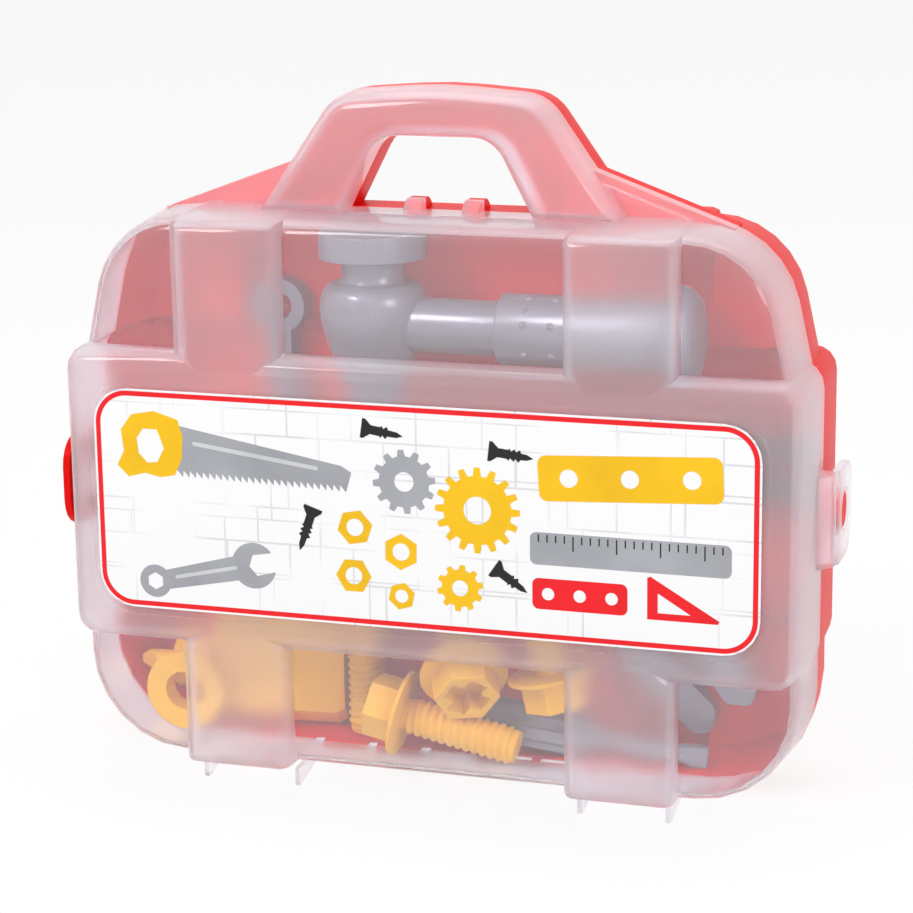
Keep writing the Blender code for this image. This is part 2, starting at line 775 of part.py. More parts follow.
def add_case(clear, red, paper):
    front = half_case("front_shell")
    rear = bpy.data.objects.new("rear_shell", front.data.copy())
    bpy.context.collection.objects.link(rear)
    hinge = Vector((0.0, 0.0, HINGE_Z))
    move_mesh(front, Matrix.Translation(-hinge))
    move_mesh(rear, Matrix.Translation(-hinge))
    finish(front, clear, hinge)
    finish(rear, red, hinge, (0.0, 0.0, math.pi))
    outline = rounded_outline(label_corners(0.0))
    face = BAND_DEPTH
    label = loft("label", [depth_ring(outline, depth) for depth in (face - LABEL_THICKNESS, face)])
    finish(label, paper)


def ear(name, material, side):
    """Springy ear of one half. Its origin is on the line that it bends about."""
    half = EAR_THICKNESS / 2
    reach = EAR_REACH - EAR_PIVOT_Y
    tall = EAR_HEIGHT / 2
    corners = (
        (0.0, -tall, 0.0, 0),
        (reach, -tall, EAR_CORNER, ARC_STEPS),
        (reach, tall, EAR_CORNER, ARC_STEPS),
        (0.0, tall, 0.0, 0),
    )
    outline = rounded_outline(corners)
    plate = loft("plate", [[(x, y, z) for y, z in outline] for x in (-half, half)])
    root = lathe(name, ((half, -tall), (half, tall)), BOLT_SEGMENTS)
    join(root, plate)
    profile = ((EAR_HOLE_RADIUS, -EAR_THICKNESS), (EAR_HOLE_RADIUS, EAR_THICKNESS))
    hole = lathe("hole", profile, HAMMER_SEGMENTS)
    turn = Matrix.Rotation(math.pi / 2, 4, "Y")
    move_mesh(hole, Matrix.Translation((0.0, EAR_HOLE_REACH - EAR_PIVOT_Y, 0.0)) @ turn)
    cut(root, hole)
    place = (side * EAR_PIVOT_X, side * EAR_PIVOT_Y, LABEL_CENTRE_Z)
    turn = 0.0 if side > 0 else math.pi
    return finish(root, material, place, (0.0, 0.0, turn))


def hammer_profile(grow=0.0):
    """Radius and drop below the striking face, with an even skin added where asked."""
    barrel_top = FACE_THICKNESS + NECK_LENGTH
    profile = [
        (FACE_RADIUS - FACE_CHAMFER, 0.0),
        (FACE_RADIUS, FACE_CHAMFER),
        (FACE_RADIUS, FACE_THICKNESS - FACE_CHAMFER),
        (FACE_RADIUS - FACE_CHAMFER, FACE_THICKNESS),
        (NECK_RADIUS, FACE_THICKNESS),
        (NECK_RADIUS, barrel_top),
    ]
    for radius_share, length_share in BARREL_SHARES:
        profile.append((BARREL_RADIUS * radius_share, barrel_top + BARREL_LENGTH * length_share))
    profile.append((PEEN_RADIUS, barrel_top + BARREL_LENGTH))
    profile.append((PEEN_TIP_RADIUS, HAMMER_LENGTH - FACE_CHAMFER))
    profile.append((PEEN_TIP_RADIUS - FACE_CHAMFER, HAMMER_LENGTH))
    return [(radius + grow, -drop) for radius, drop in profile]


def add_hammer(grey):
    y = REAR_PANEL_Y - FACE_RADIUS
    place = Vector((HAMMER_X, y, HAMMER_FACE_Z))
    head = lathe("hammer_head", hammer_profile(), HAMMER_SEGMENTS)
    skin = lathe("skin", hammer_profile(GAP), HAMMER_SEGMENTS)
    shaft_start = SPIGOT_DEPTH
    shaft_length = SHAFT_END_X - HAMMER_X
    grip_end = shaft_length + HAMMER_GRIP_LENGTH
    profile = [
        (SHAFT_RADIUS, shaft_start),
        (SHAFT_RADIUS, shaft_length),
        (HAMMER_GRIP_RADIUS - FACE_CHAMFER, shaft_length),
        (HAMMER_GRIP_RADIUS, shaft_length + FACE_CHAMFER),
        (HAMMER_GRIP_RADIUS, grip_end),
    ]
    for radius_share, length_share in HAMMER_END_SHARES:
        place_x = grip_end + HAMMER_END_LENGTH * length_share
        profile.append((HAMMER_END_RADIUS * radius_share, place_x))
    axis = -HANDLE_AXIS_DROP
    handle = turned_along_x("hammer_handle", profile, HAMMER_SEGMENTS, 0.0, axis)
    cut(handle, skin)
    spigot_end = BARREL_RADIUS + OVERRUN
    spigot_profile = ((SPIGOT_RADIUS, SPIGOT_DEPTH), (SPIGOT_RADIUS, spigot_end))
    join(handle, turned_along_x("spigot", spigot_profile, BOLT_SEGMENTS, 0.0, axis))
    bore_radius = SPIGOT_RADIUS + GAP
    bore_profile = ((bore_radius, SPIGOT_DEPTH - GAP), (bore_radius, spigot_end))
    cut(head, turned_along_x("bore", bore_profile, BOLT_SEGMENTS, 0.0, axis))
    finish(head, grey, place)
    finish(handle, grey, place)


def octagon(width, height, corner):
    """Rectangle with cut corners, centred on the origin."""
    x, y = width / 2, height / 2
    return (
        (x, corner - y), (x, y - corner), (x - corner, y), (corner - x, y),
        (-x, y - corner), (-x, corner - y), (corner - x, -y), (x - corner, -y),
    )


def corner_wall_x(y, z):
    """Distance of the inner side wall from the middle, at a height in the round lower corner."""
    radius = CASE_BOTTOM_RADIUS - WALL - abs(y) * math.tan(BODY_DRAFT)
    below = max(BODY_BOTTOM + CASE_BOTTOM_RADIUS - z, 0.0)
    return CASE_HALF_WIDTH - CASE_BOTTOM_RADIUS + math.sqrt(radius ** 2 - below ** 2)


def drill_nose():
    """Middle of the drill's front face, with the tip of the bit just clear of the side wall."""
    reach = DRILL_NECK_LENGTH + GAP + CHUCK_LENGTH + BIT_REACH
    y = REAR_PANEL_Y - DRILL_NOSE_INSET
    wall_x = corner_wall_x(y - reach * math.sin(DRILL_YAW), DRILL_NOSE_Z - BIT_RADIUS)
    return Vector((reach * math.cos(DRILL_YAW) + DRILL_TIP_CLEARANCE - wall_x, y, DRILL_NOSE_Z))


def drill_place():
    """Matrix from the drill's own frame, nose along +X and grip up, to the case."""
    return Matrix.Translation(drill_nose()) @ Matrix.Rotation(math.pi + DRILL_YAW, 4, "Z")


def drill_solid(name):
    """Body and grip of the drill in its own frame, before it is split into two mouldings."""
    outline = octagon(DRILL_THICKNESS, DRILL_HEIGHT, DRILL_CORNER)
    chamfer = octagon(DRILL_THICKNESS - DRILL_CORNER / 2, DRILL_HEIGHT - DRILL_CORNER / 2, DRILL_CORNER)
    stations = (
        (-DRILL_LENGTH, chamfer),
        (DRILL_CORNER / 2 - DRILL_LENGTH, outline),
        (-DRILL_CORNER / 2, outline),
        (0.0, chamfer),
    )
    body = loft(name, [[(x, y, z) for y, z in ring] for x, ring in stations])
    grip_ring = octagon(DRILL_GRIP_DEPTH, DRILL_GRIP_THICKNESS, DRILL_GRIP_CORNER)
    small_ring = octagon(
        DRILL_GRIP_DEPTH - DRILL_GRIP_CORNER, DRILL_GRIP_THICKNESS - DRILL_GRIP_CORNER, DRILL_GRIP_CORNER
    )
    foot_x = DRILL_GRIP_SETBACK + DRILL_GRIP_DEPTH / 2 - DRILL_LENGTH
    top = DRILL_HEIGHT / 2 + DRILL_GRIP_LENGTH
    lean = DRILL_GRIP_LEAN
    rings = []
    for height, ring, shift in (
        (0.0, grip_ring, 0.0),
        (top - DRILL_GRIP_CORNER, grip_ring, lean),
        (top, small_ring, lean),
    ):
        rings.append([(foot_x + shift + x, y, height) for x, y in ring])
    grip = loft("grip", rings)
    trigger_x = foot_x + DRILL_GRIP_DEPTH / 2
    trigger_low = DRILL_HEIGHT / 2 - DRILL_CORNER / 2
    trigger_top = DRILL_HEIGHT / 2 + TRIGGER_HEIGHT
    half = TRIGGER_THICKNESS / 2
    trigger = box(
        "trigger",
        (trigger_x - TRIGGER_LENGTH, -half, trigger_low),
        (trigger_x + TRIGGER_LENGTH, half, trigger_top),
    )
    neck = lathe("neck", ((DRILL_NECK_RADIUS, -WALL), (DRILL_NECK_RADIUS, DRILL_NECK_LENGTH)), BOLT_SEGMENTS)
    axle_end = DRILL_NECK_LENGTH + AXLE_LENGTH
    axle = lathe("axle", ((AXLE_RADIUS, -WALL), (AXLE_RADIUS, axle_end)), BOLT_SEGMENTS)
    turn = Matrix.Rotation(math.pi / 2, 4, "Y")
    move_mesh(neck, turn)
    move_mesh(axle, turn)
    return join(body, grip, trigger, neck, axle)


def add_drill(orange):
    place = drill_place()
    reach = DRILL_LENGTH * 2
    for name, side in (("drill_housing_front", 1), ("drill_housing_rear", -1)):
        housing = drill_solid(name)
        seam = side * GAP / 2
        low, high = sorted((seam, -side * reach))
        cut(housing, box("half", (-reach, low, -reach), (reach, high, reach)))
        finish(housing, orange)
        housing.matrix_world = place
    start = DRILL_NECK_LENGTH + GAP
    chuck = drill_chuck(start)
    finish(chuck, orange)
    chuck.matrix_world = place
    bit = drill_bit(start)
    finish(bit, orange)
    bit.matrix_world = place


def drill_chuck(start):
    collar_end = start + CHUCK_COLLAR
    knurl_end = collar_end + CHUCK_KNURL
    nose = knurl_end + CHUCK_TAPER
    rings = []
    low = CHUCK_RADIUS - KNURL_DEPTH
    stations = (
        (start, low, low),
        (start + KNURL_DEPTH, CHUCK_RADIUS, CHUCK_RADIUS),
        (collar_end - KNURL_DEPTH, CHUCK_RADIUS, CHUCK_RADIUS),
        (collar_end, CHUCK_RADIUS, low),
        (knurl_end, CHUCK_RADIUS, low),
        (nose, CHUCK_NOSE_RADIUS, CHUCK_NOSE_RADIUS),
    )
    count = KNURL_COUNT * 2
    for x, crest, valley in stations:
        ring = []
        for index in range(count):
            angle = 2 * math.pi * index / count
            radius = valley if index % 2 else crest
            ring.append((x, radius * math.cos(angle), radius * math.sin(angle)))
        rings.append(ring)
    chuck = loft("drill_chuck", rings)
    axle = bore_along_x(AXLE_RADIUS + GAP, start - OVERRUN, start + CHUCK_BORE_DEPTH)
    socket = bore_along_x(BIT_RADIUS + GAP, nose - BIT_SOCKET, nose + OVERRUN)
    return cut(chuck, axle, socket)


def bore_along_x(radius, start, end):
    return turned_along_x("bore", ((radius, start), (radius, end)), BOLT_SEGMENTS, 0.0, 0.0)


def drill_bit(start):
    nose = start + CHUCK_LENGTH
    low = nose - BIT_SOCKET + GAP
    end = nose + BIT_REACH
    profile = ((BIT_RADIUS, low), (BIT_RADIUS, end - BIT_TIP_LENGTH / 2), (BIT_RADIUS / 2, end))
    bit = turned_along_x("drill_bit", profile, BOLT_SEGMENTS, 0.0, 0.0)
    half = BIT_TIP_THICKNESS / 2
    reach = BIT_RADIUS * 2
    tip = end - BIT_TIP_LENGTH
    for side in (-1, 1):
        low_y, high_y = sorted((side * half, side * reach))
        cut(bit, box("flat", (tip, low_y, -reach), (end + OVERRUN, high_y, reach)))
    return bit


def hexagon(flats):
    radius = flats / math.sqrt(3)
    return [(radius * math.cos(math.pi / 3 * k), radius * math.sin(math.pi / 3 * k)) for k in range(6)]


def bolt(name, material, matrix):
    """Toy bolt along local +Z: hollow hexagon head below, wide flange, then the shank."""
    head = prism(name, hexagon(HEX_FLATS), -HEX_HEIGHT, FLANGE_THICKNESS / 2)
    flange = lathe("flange", ((FLANGE_RADIUS, 0.0), (FLANGE_RADIUS, FLANGE_THICKNESS)), HAMMER_SEGMENTS)
    end = FLANGE_THICKNESS + SHANK_LENGTH
    profile = (
        (SHANK_RADIUS, FLANGE_THICKNESS / 2),
        (SHANK_RADIUS, end - SHANK_CHAMFER),
        (SHANK_RADIUS - SHANK_CHAMFER, end),
    )
    shank = lathe("shank", profile, BOLT_SEGMENTS)
    join(head, flange, shank)
    cup = prism("cup", hexagon(HEX_FLATS - 2 * CUP_WALL), -HEX_HEIGHT - OVERRUN, CUP_DEPTH - HEX_HEIGHT)
    cut(head, cup)
    finish(head, material)
    head.matrix_world = matrix
    return head


def nut(name, material, location, rotation):
    """Toy nut along local Z: flange at the foot, hexagon above, clear bore."""
    body = prism(name, hexagon(NUT_FLATS), FLANGE_THICKNESS / 2, NUT_HEIGHT)
    flange = lathe("flange", ((NUT_RADIUS, 0.0), (NUT_RADIUS, FLANGE_THICKNESS)), HAMMER_SEGMENTS)
    join(body, flange)
    radius = SHANK_RADIUS + NUT_CLEARANCE
    bore = lathe("bore", ((radius, -OVERRUN), (radius, NUT_HEIGHT + OVERRUN)), BOLT_SEGMENTS)
    cut(body, bore)
    return finish(body, material, location, rotation)


def aim(location, direction):
    """Matrix that stands local +Z along the direction at the place."""
    turn = Vector(direction).to_track_quat("Z", "Y").to_matrix().to_4x4()
    return Matrix.Translation(location) @ turn


def floor_height(y):
    """Height of the drafted floor inside the case."""
    return BODY_BOTTOM + WALL + abs(y) * math.tan(BODY_DRAFT)


def bolt_one_tilt():
    """Slope of a bolt that lies on the rim of its flange and the end of its shank."""
    return math.atan((FLANGE_RADIUS - SHANK_RADIUS) / (SHANK_LENGTH - SHANK_CHAMFER))


def bolt_one_flange():
    tilt = bolt_one_tilt()
    y = FLANGE_RADIUS + BOLT_ONE_CLEARANCE - REAR_PANEL_Y
    lift = FLANGE_RADIUS * math.cos(tilt) + FLANGE_THICKNESS * math.sin(tilt)
    return Vector((BOLT_ONE_X, y, floor_height(y) + 2 * GAP + lift))


def bolt_head_points():
    """Corners of the head and points on both rims of the flange, in the bolt's own frame."""
    points = [Vector((x, y, -HEX_HEIGHT)) for x, y in hexagon(HEX_FLATS)]
    for index in range(2 * HAMMER_SEGMENTS):
        angle = math.pi * index / HAMMER_SEGMENTS
        x, y = FLANGE_RADIUS * math.cos(angle), FLANGE_RADIUS * math.sin(angle)
        points.extend((Vector((x, y, 0.0)), Vector((x, y, FLANGE_THICKNESS))))
    return points


def bolt_two_place():
    """Rests on the shank of the first bolt and leans back as far as the rear panel lets it."""
    across = BOLT_TWO_ACROSS_SHARE
    y = BOLT_TWO_INSET - REAR_PANEL_Y
    room = REAR_PANEL_Y - BOLT_TWO_END_INSET - y
    back = min(BOLT_TWO_DEPTH_SHARE, room / (FLANGE_THICKNESS + SHANK_LENGTH))
    direction = Vector((across, back, math.sqrt(1 - across ** 2 - back ** 2)))
    turn = aim((BOLT_TWO_X, y, 0.0), direction)
    first = bolt_one_flange()
    slope = math.tan(bolt_one_tilt())
    lifts = []
    for point in bolt_head_points():
        place = turn @ point
        off = place.y - first.y
        if abs(off) < SHANK_RADIUS:
            crest = first.z - (place.x - first.x) * slope + math.sqrt(SHANK_RADIUS ** 2 - off ** 2)
            lifts.append(crest - place.z)
    return Vector((BOLT_TWO_X, y, max(lifts) + BOLT_TWO_CLEARANCE)), direction


def bolt_three_place():
    """Stands on its head beside the flange of the second bolt."""
    second, aim_two = bolt_two_place()
    reach = FLANGE_RADIUS * (math.sqrt(1 - aim_two.x ** 2) + math.cos(BOLT_THREE_LEAN))
    place = Vector((second.x + reach + GAP, BOLT_THREE_INSET - REAR_PANEL_Y, second.z + BOLT_THREE_RISE))
    return place, Vector((-math.sin(BOLT_THREE_LEAN), 0.0, math.cos(BOLT_THREE_LEAN)))


def bolt_four_place():
    """Stands on its tip, with its flange beside the grip of the drill."""
    y = REAR_PANEL_Y - FLANGE_RADIUS - BOLT_FOUR_INSET
    z = floor_height(y + SHANK_RADIUS) + GAP + FLANGE_THICKNESS + SHANK_LENGTH
    nose = drill_nose()
    grip_top = DRILL_HEIGHT / 2 + DRILL_GRIP_LENGTH - DRILL_GRIP_CORNER
    lean = DRILL_GRIP_LEAN * (z - nose.z) / grip_top
    side = (DRILL_LENGTH - DRILL_GRIP_SETBACK - lean) * math.cos(DRILL_YAW)
    side += DRILL_GRIP_THICKNESS / 2 * math.sin(DRILL_YAW)
    return Vector((nose.x + side + BOLT_FOUR_CLEARANCE + FLANGE_RADIUS, y, z)), Vector((0.0, 0.0, -1.0))


def add_bolts(yellow):
    tilt = bolt_one_tilt()
    places = (
        (bolt_one_flange(), Vector((math.cos(tilt), 0.0, -math.sin(tilt)))),
        bolt_two_place(),
        bolt_three_place(),
        bolt_four_place(),
    )
    for index, (place, direction) in enumerate(places):
        bolt(f"bolt_{index + 1}", yellow, aim(place, direction))


def corner_rest():
    """Place of the nut that stands on edge in the round lower left corner, in front of the drill."""
    nose = drill_nose()
    front = nose.y - math.sin(DRILL_YAW) * CHUCK_LENGTH - max(CHUCK_RADIUS, DRILL_THICKNESS / 2)
    y = front - NUT_ONE_CLEARANCE - NUT_HEIGHT
    inset = WALL + 2 * GAP + abs(y) * math.tan(BODY_DRAFT)
    reach = CASE_BOTTOM_RADIUS - inset - NUT_RADIUS
    z = BODY_BOTTOM + CASE_BOTTOM_RADIUS - math.sqrt(reach ** 2 - NUT_ONE_ACROSS ** 2)
    return (NUT_ONE_ACROSS + CASE_BOTTOM_RADIUS - CASE_HALF_WIDTH, y, z)


def add_nuts(yellow):
    nut("nut_1", yellow, corner_rest(), (-math.pi / 2, 0.0, 0.0))
    row_z = LEDGE_Z + STRIP_LEDGE_RISE + STRIP_WIDTH + NUT_RADIUS + GAP
    pitch = 2 * (NUT_RADIUS + GAP)
    for index in range(3):
        x = NUT_ROW_X + pitch * index
        nut(f"nut_{index + 2}", yellow, (x, REAR_BAND_Y, row_z), (math.pi / 2, 0.0, 0.0))


def strip(name, length, holes, place_x, y):
    """Flat strip with round ends and holes on an even pitch."""
    radius = STRIP_WIDTH / 2
    z = LEDGE_Z + STRIP_LEDGE_RISE + radius
    bend = radius * STRIP_END_SHARE
    corners = (
        (0.0, -radius, bend, ARC_STEPS),
        (length, -radius, bend, ARC_STEPS),
        (length, radius, bend, ARC_STEPS),
        (0.0, radius, bend, ARC_STEPS),
    )
    outline = rounded_outline(corners)
    item = loft(name, [depth_ring(outline, depth) for depth in (0.0, STRIP_THICKNESS)])
    middle = length / 2
    cutters = []
    for index in range(holes):
        x = middle + (index - (holes - 1) / 2) * STRIP_PITCH
        cutters.append(along_y("hole", STRIP_HOLE_RADIUS, 2 * OVERRUN, x, 0.0, BOLT_SEGMENTS))
    cut(item, *cutters)
    return item, (place_x, y, z)


def add_strips(grey, red):
    pitch = STRIP_THICKNESS + GAP
    rows = (
        ("strip_long", LONG_STRIP, 4, LONG_STRIP_X, grey),
        ("strip_short_1", SHORT_STRIP, 3, SHORT_STRIP_X, red),
        ("strip_short_2", SHORT_STRIP, 3, SHORT_STRIP_X, red),
    )
    for index, (name, length, holes, x, material) in enumerate(rows):
        item, place = strip(name, length, holes, x, REAR_BAND_Y - pitch * index)
        finish(item, material, place)


def split_pin(name, material, location):
    tip = SPLIT_PIN_LENGTH
    bend = SPLIT_HEAD_LENGTH / 3
    profile = (
        (SPLIT_HEAD_RADIUS - bend, 0.0),
        (SPLIT_HEAD_RADIUS, bend),
        (SPLIT_HEAD_RADIUS, SPLIT_HEAD_LENGTH),
        (SPLIT_SHAFT_RADIUS, SPLIT_HEAD_LENGTH),
        (SPLIT_SHAFT_RADIUS, tip - SPLIT_SLOT_LENGTH / 3),
        (SPLIT_TIP_RADIUS, tip - SPLIT_SLOT_LENGTH / 4),
        (SPLIT_SHAFT_RADIUS - bend, tip),
    )
    pin = turned_along_x(name, profile, BOLT_SEGMENTS, 0.0, 0.0)
    half = SPLIT_SLOT / 2
    reach = SPLIT_HEAD_RADIUS
    slot = box("slot", (tip - SPLIT_SLOT_LENGTH, -half, -reach), (tip + OVERRUN, half, reach))
    cut(pin, slot)
    return finish(pin, material, location)


def add_split_pins(black):
    y = REAR_BAND_Y - SPLIT_HEAD_RADIUS
    rise = 2 * SPLIT_HEAD_RADIUS + GAP
    for index in range(4):
        x = SPLIT_PIN_X + (SPLIT_PIN_LENGTH + GAP) * (index % 2)
        z = SPLIT_PIN_Z + rise * (index // 2)
        split_pin(f"split_pin_{index + 1}", black, (x, y, z))


def add_wrench(grey):
    """Adjustable wrench that stands on its jaws in the rear recess."""
    half = WRENCH_THICKNESS / 2
    y = REAR_BAND_Y - half
    low = LEDGE_Z + STRIP_LEDGE_RISE
    place = Vector((WRENCH_X, y, low))
    top = WRENCH_LENGTH - WRENCH_RING_RADIUS
    left = -WRENCH_HEAD_WIDTH / 2
    right = WRENCH_HEAD_WIDTH / 2
    shoulder = WRENCH_JAW_LENGTH + WRENCH_HEAD_LENGTH
    stem = WRENCH_SHANK / 2
    outline = (
        (left, 0.0),
        (left + WRENCH_FIXED_JAW, 0.0),
        (left + WRENCH_FIXED_JAW, WRENCH_JAW_LENGTH),
        (right, WRENCH_JAW_LENGTH),
        (right, WRENCH_JAW_LENGTH + WRENCH_HEAD_LENGTH / 2),
        (stem, shoulder),
        (stem * WRENCH_TAPER_SHARE, top),
        (-stem * WRENCH_TAPER_SHARE, top),
        (-stem, shoulder),
        (left, WRENCH_JAW_LENGTH + WRENCH_HEAD_LENGTH / 2),
    )
    body = loft("wrench_body", [[(x, depth, z) for x, z in outline] for depth in (-half, half)])
    ring = along_y("ring", WRENCH_RING_RADIUS, half, 0.0, top, HAMMER_SEGMENTS)
    join(body, ring)
    hang = along_y("hang", WRENCH_RING_HOLE, half + OVERRUN, 0.0, top, BOLT_SEGMENTS)
    worm_z = WRENCH_JAW_LENGTH + WRENCH_KEY + GAP * 2 + WORM_RADIUS
    room = GAP * 2
    window = box(
        "window",
        (left + WRENCH_FIXED_JAW - room, -half - OVERRUN, WRENCH_JAW_LENGTH + WRENCH_KEY),
        (left + WRENCH_FIXED_JAW + WORM_LENGTH + room, half + OVERRUN, worm_z + WORM_RADIUS + room),
    )
    key = WRENCH_KEY / 2
    slot = box(
        "slot",
        (left + WRENCH_FIXED_JAW, -key - GAP, WRENCH_JAW_LENGTH - OVERRUN),
        (right + OVERRUN, key + GAP, WRENCH_JAW_LENGTH + WRENCH_KEY + GAP),
    )
    cut(body, hang, window, slot)
    finish(body, grey, place)

    jaw_left = left + WRENCH_FIXED_JAW + WRENCH_OPENING
    jaw = box("wrench_jaw", (0.0, -half, 0.0), (WRENCH_MOVING_JAW, half, WRENCH_JAW_LENGTH - GAP))
    rail_top = WRENCH_JAW_LENGTH + WRENCH_KEY
    rail = box("rail", (0.0, -key, WRENCH_JAW_LENGTH - OVERRUN), (WRENCH_MOVING_JAW, key, rail_top))
    join(jaw, rail)
    finish(jaw, grey, place + Vector((jaw_left, 0.0, 0.0)))

    steps = 2 * WORM_TURNS
    profile = []
    for index in range(steps + 1):
        radius = WORM_RADIUS if index % 2 else WORM_RADIUS - WORM_GROOVE
        profile.append((radius, WORM_LENGTH * index / steps))
    worm = turned_along_x("wrench_worm", profile, BOLT_SEGMENTS, 0.0, 0.0)
    finish(worm, grey, place + Vector((left + WRENCH_FIXED_JAW, 0.0, worm_z)))


def along_y(name, radius, half, x, z, segments):
    item = lathe(name, ((radius, -half), (radius, half)), segments)
    return move_mesh(item, Matrix.Translation((x, 0.0, z)) @ Matrix.Rotation(math.pi / 2, 4, "X"))


def blade_ring(x, half_y, half_z, reach):
    """Circle of the given reach, pressed flat to the half sizes."""
    ring = []
    for index in range(BOLT_SEGMENTS):
        angle = 2 * math.pi * index / BOLT_SEGMENTS
        y = max(-half_y, min(half_y, reach * math.cos(angle)))
        z = max(-half_z, min(half_z, reach * math.sin(angle)))
        ring.append((x, y, z))
    return ring


def add_screwdriver(grey):
    length = SCREWDRIVER_GRIP_LENGTH
    radius = SCREWDRIVER_GRIP_RADIUS
    bend = SCREWDRIVER_FLUTE_RADIUS
    tilt = math.atan((radius - BLADE_TIP_WIDTH / 2) / (BLADE_LENGTH + 2 * bend))
    y = bolt_one_flange().y + SHANK_RADIUS + SCREWDRIVER_CLEARANCE + radius
    low = floor_height(y + BLADE_TIP_THICKNESS / 2) + GAP + radius * math.cos(tilt)
    x = CASE_HALF_WIDTH - CASE_BOTTOM_RADIUS - SCREWDRIVER_TIP_INSET - length - BLADE_LENGTH
    place = (x, y, low + (length - 2 * bend) * math.sin(tilt))
    rotation = (0.0, -tilt, math.pi)
    profile = (
        (radius - bend, 0.0),
        (radius, bend),
        (radius, length - 2 * bend),
        (radius - bend, length - bend),
        (radius - bend, length),
    )
    grip = turned_along_x("screwdriver_grip", [(r, -x) for r, x in profile], HAMMER_SEGMENTS, 0.0, 0.0)
    cutters = []
    for index in range(SCREWDRIVER_FLUTES):
        angle = 2 * math.pi * (index + 0.5) / SCREWDRIVER_FLUTES
        off = radius + bend / 2
        centre = (off * math.cos(angle), off * math.sin(angle))
        ends = ((bend, -3 * bend), (bend, 3 * bend - length))
        cutters.append(turned_along_x("flute", ends, ARC_STEPS * 2, *centre))
    socket = bore_along_x(BLADE_RADIUS + GAP, -length - OVERRUN, BLADE_SOCKET - length)
    cut(grip, *cutters, socket)
    finish(grip, grey, place, rotation)

    start = BLADE_SOCKET - GAP - length
    end = -length - BLADE_LENGTH
    neck = end + BLADE_TIP_LENGTH
    wide = BLADE_TIP_WIDTH / 2
    thin = BLADE_TIP_THICKNESS / 2
    stations = (
        (start, BLADE_RADIUS, BLADE_RADIUS, BLADE_RADIUS),
        (neck, BLADE_RADIUS, BLADE_RADIUS, BLADE_RADIUS),
        (neck - BLADE_TIP_LENGTH / 2, 2 * thin, wide, wide + thin),
        (end, thin, wide, wide + thin),
    )
    blade = loft("screwdriver_blade", [blade_ring(*station) for station in stations])
    finish(blade, grey, place, rotation)


def pliers_half(name, side, layer):
    """One lever of the pliers about its pivot, handle along local +X, in the XZ plane."""
    width = PLIERS_HANDLE_WIDTH
    eye = PLIERS_EYE_RADIUS
    length = PLIERS_HANDLE_LENGTH
    bow = length * PLIERS_BOW_SHARE
    outer, end_outer, end_middle, end_inner, inner = (width * share for share in PLIERS_EDGE_SHARES)
    outline = [(-PLIERS_JAW_LENGTH, -GAP), (-eye, -GAP)]
    outline.extend(arc_points(eye, math.radians(165), math.radians(75)))
    outline.extend((
        (bow, outer),
        (length - width / 3, end_outer),
        (length, end_middle),
        (length - width / 2, end_inner),
        (bow, inner),
    ))
    tip = outline[-4:-1]
    outline.extend(arc_points(eye, math.radians(-5), math.radians(-95)))
    outline.extend(((-eye, -PLIERS_JAW_WIDTH), (-PLIERS_JAW_LENGTH, -PLIERS_TIP_WIDTH)))
    corners = [(x, z, PLIERS_END_RADIUS, 2) if (x, z) in tip else (x, z, 0.0, 0) for x, z in outline]
    outline = rounded_outline(corners[::-1])
    item = loft(name, [[(x, y, z * side) for x, z in outline] for y in layer])
    hole = along_y("hole", PLIERS_PIN_RADIUS + GAP, PLIERS_THICKNESS * 3, 0.0, 0.0, BOLT_SEGMENTS)
    return cut(item, hole)


def arc_points(radius, first, last):
    points = []
    for step in range(ARC_STEPS + 1):
        angle = first + (last - first) * step / ARC_STEPS
        points.append((radius * math.cos(angle), radius * math.sin(angle)))
    return points


def add_pliers(grey):
    head = PLIERS_PIN_HEAD_THICKNESS + GAP
    y = REAR_BAND_Y - 3 * (STRIP_THICKNESS + GAP) - head
    place = (PLIERS_X, y, PLIERS_Z)
    first = (-PLIERS_THICKNESS, 0.0)
    second = (-2 * PLIERS_THICKNESS - GAP, -PLIERS_THICKNESS - GAP)
    rotation = (0.0, -PLIERS_ANGLE, 0.0)
    finish(pliers_half("pliers_rear_lever", -1, first), grey, place, rotation)
    finish(pliers_half("pliers_front_lever", 1, second), grey, place, rotation)
    span = 2 * PLIERS_THICKNESS + GAP
    profile = (
        (PLIERS_PIN_HEAD, -head),
        (PLIERS_PIN_HEAD, -GAP),
        (PLIERS_PIN_RADIUS, -GAP),
        (PLIERS_PIN_RADIUS, span + GAP),
        (PLIERS_PIN_HEAD, span + GAP),
        (PLIERS_PIN_HEAD, span + head),
    )
    pin = lathe("pliers_pin", profile, BOLT_SEGMENTS)
    move_mesh(pin, Matrix.Rotation(math.pi / 2, 4, "X"))
    finish(pin, grey, place)


def main():
    clear_scene()
    clear = make_material("frosted clear plastic", (0.92, 0.88, 0.90), 0.35, alpha=0.45)
    red = make_material("red plastic", (0.83, 0.02, 0.03), 0.35)
    paper = make_material("printed label", (0.90, 0.90, 0.90), 0.45)
    grey = make_material("silver-grey plastic", (0.52, 0.53, 0.56), 0.35)
    orange = make_material("orange plastic", (0.95, 0.36, 0.02), 0.35)
    yellow = make_material("yellow plastic", (0.97, 0.62, 0.03), 0.35)
    black = make_material("black plastic", (0.03, 0.03, 0.03), 0.4)
    add_case(clear, red, paper)
    ear("right_latch_ear", clear, 1)
    ear("left_latch_ear", red, -1)
    add_hammer(grey)
    add_drill(orange)
    add_bolts(yellow)
    add_nuts(yellow)
    add_strips(grey, red)
    add_split_pins(black)
    add_wrench(grey)
    add_screwdriver(grey)
    add_pliers(grey)


main()
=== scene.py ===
"""Toy tool box in a plain studio: frosted clear front, red back, toy tools inside."""
import cmath
import json
import math

import bmesh
import bpy
from mathutils import Matrix, Vector


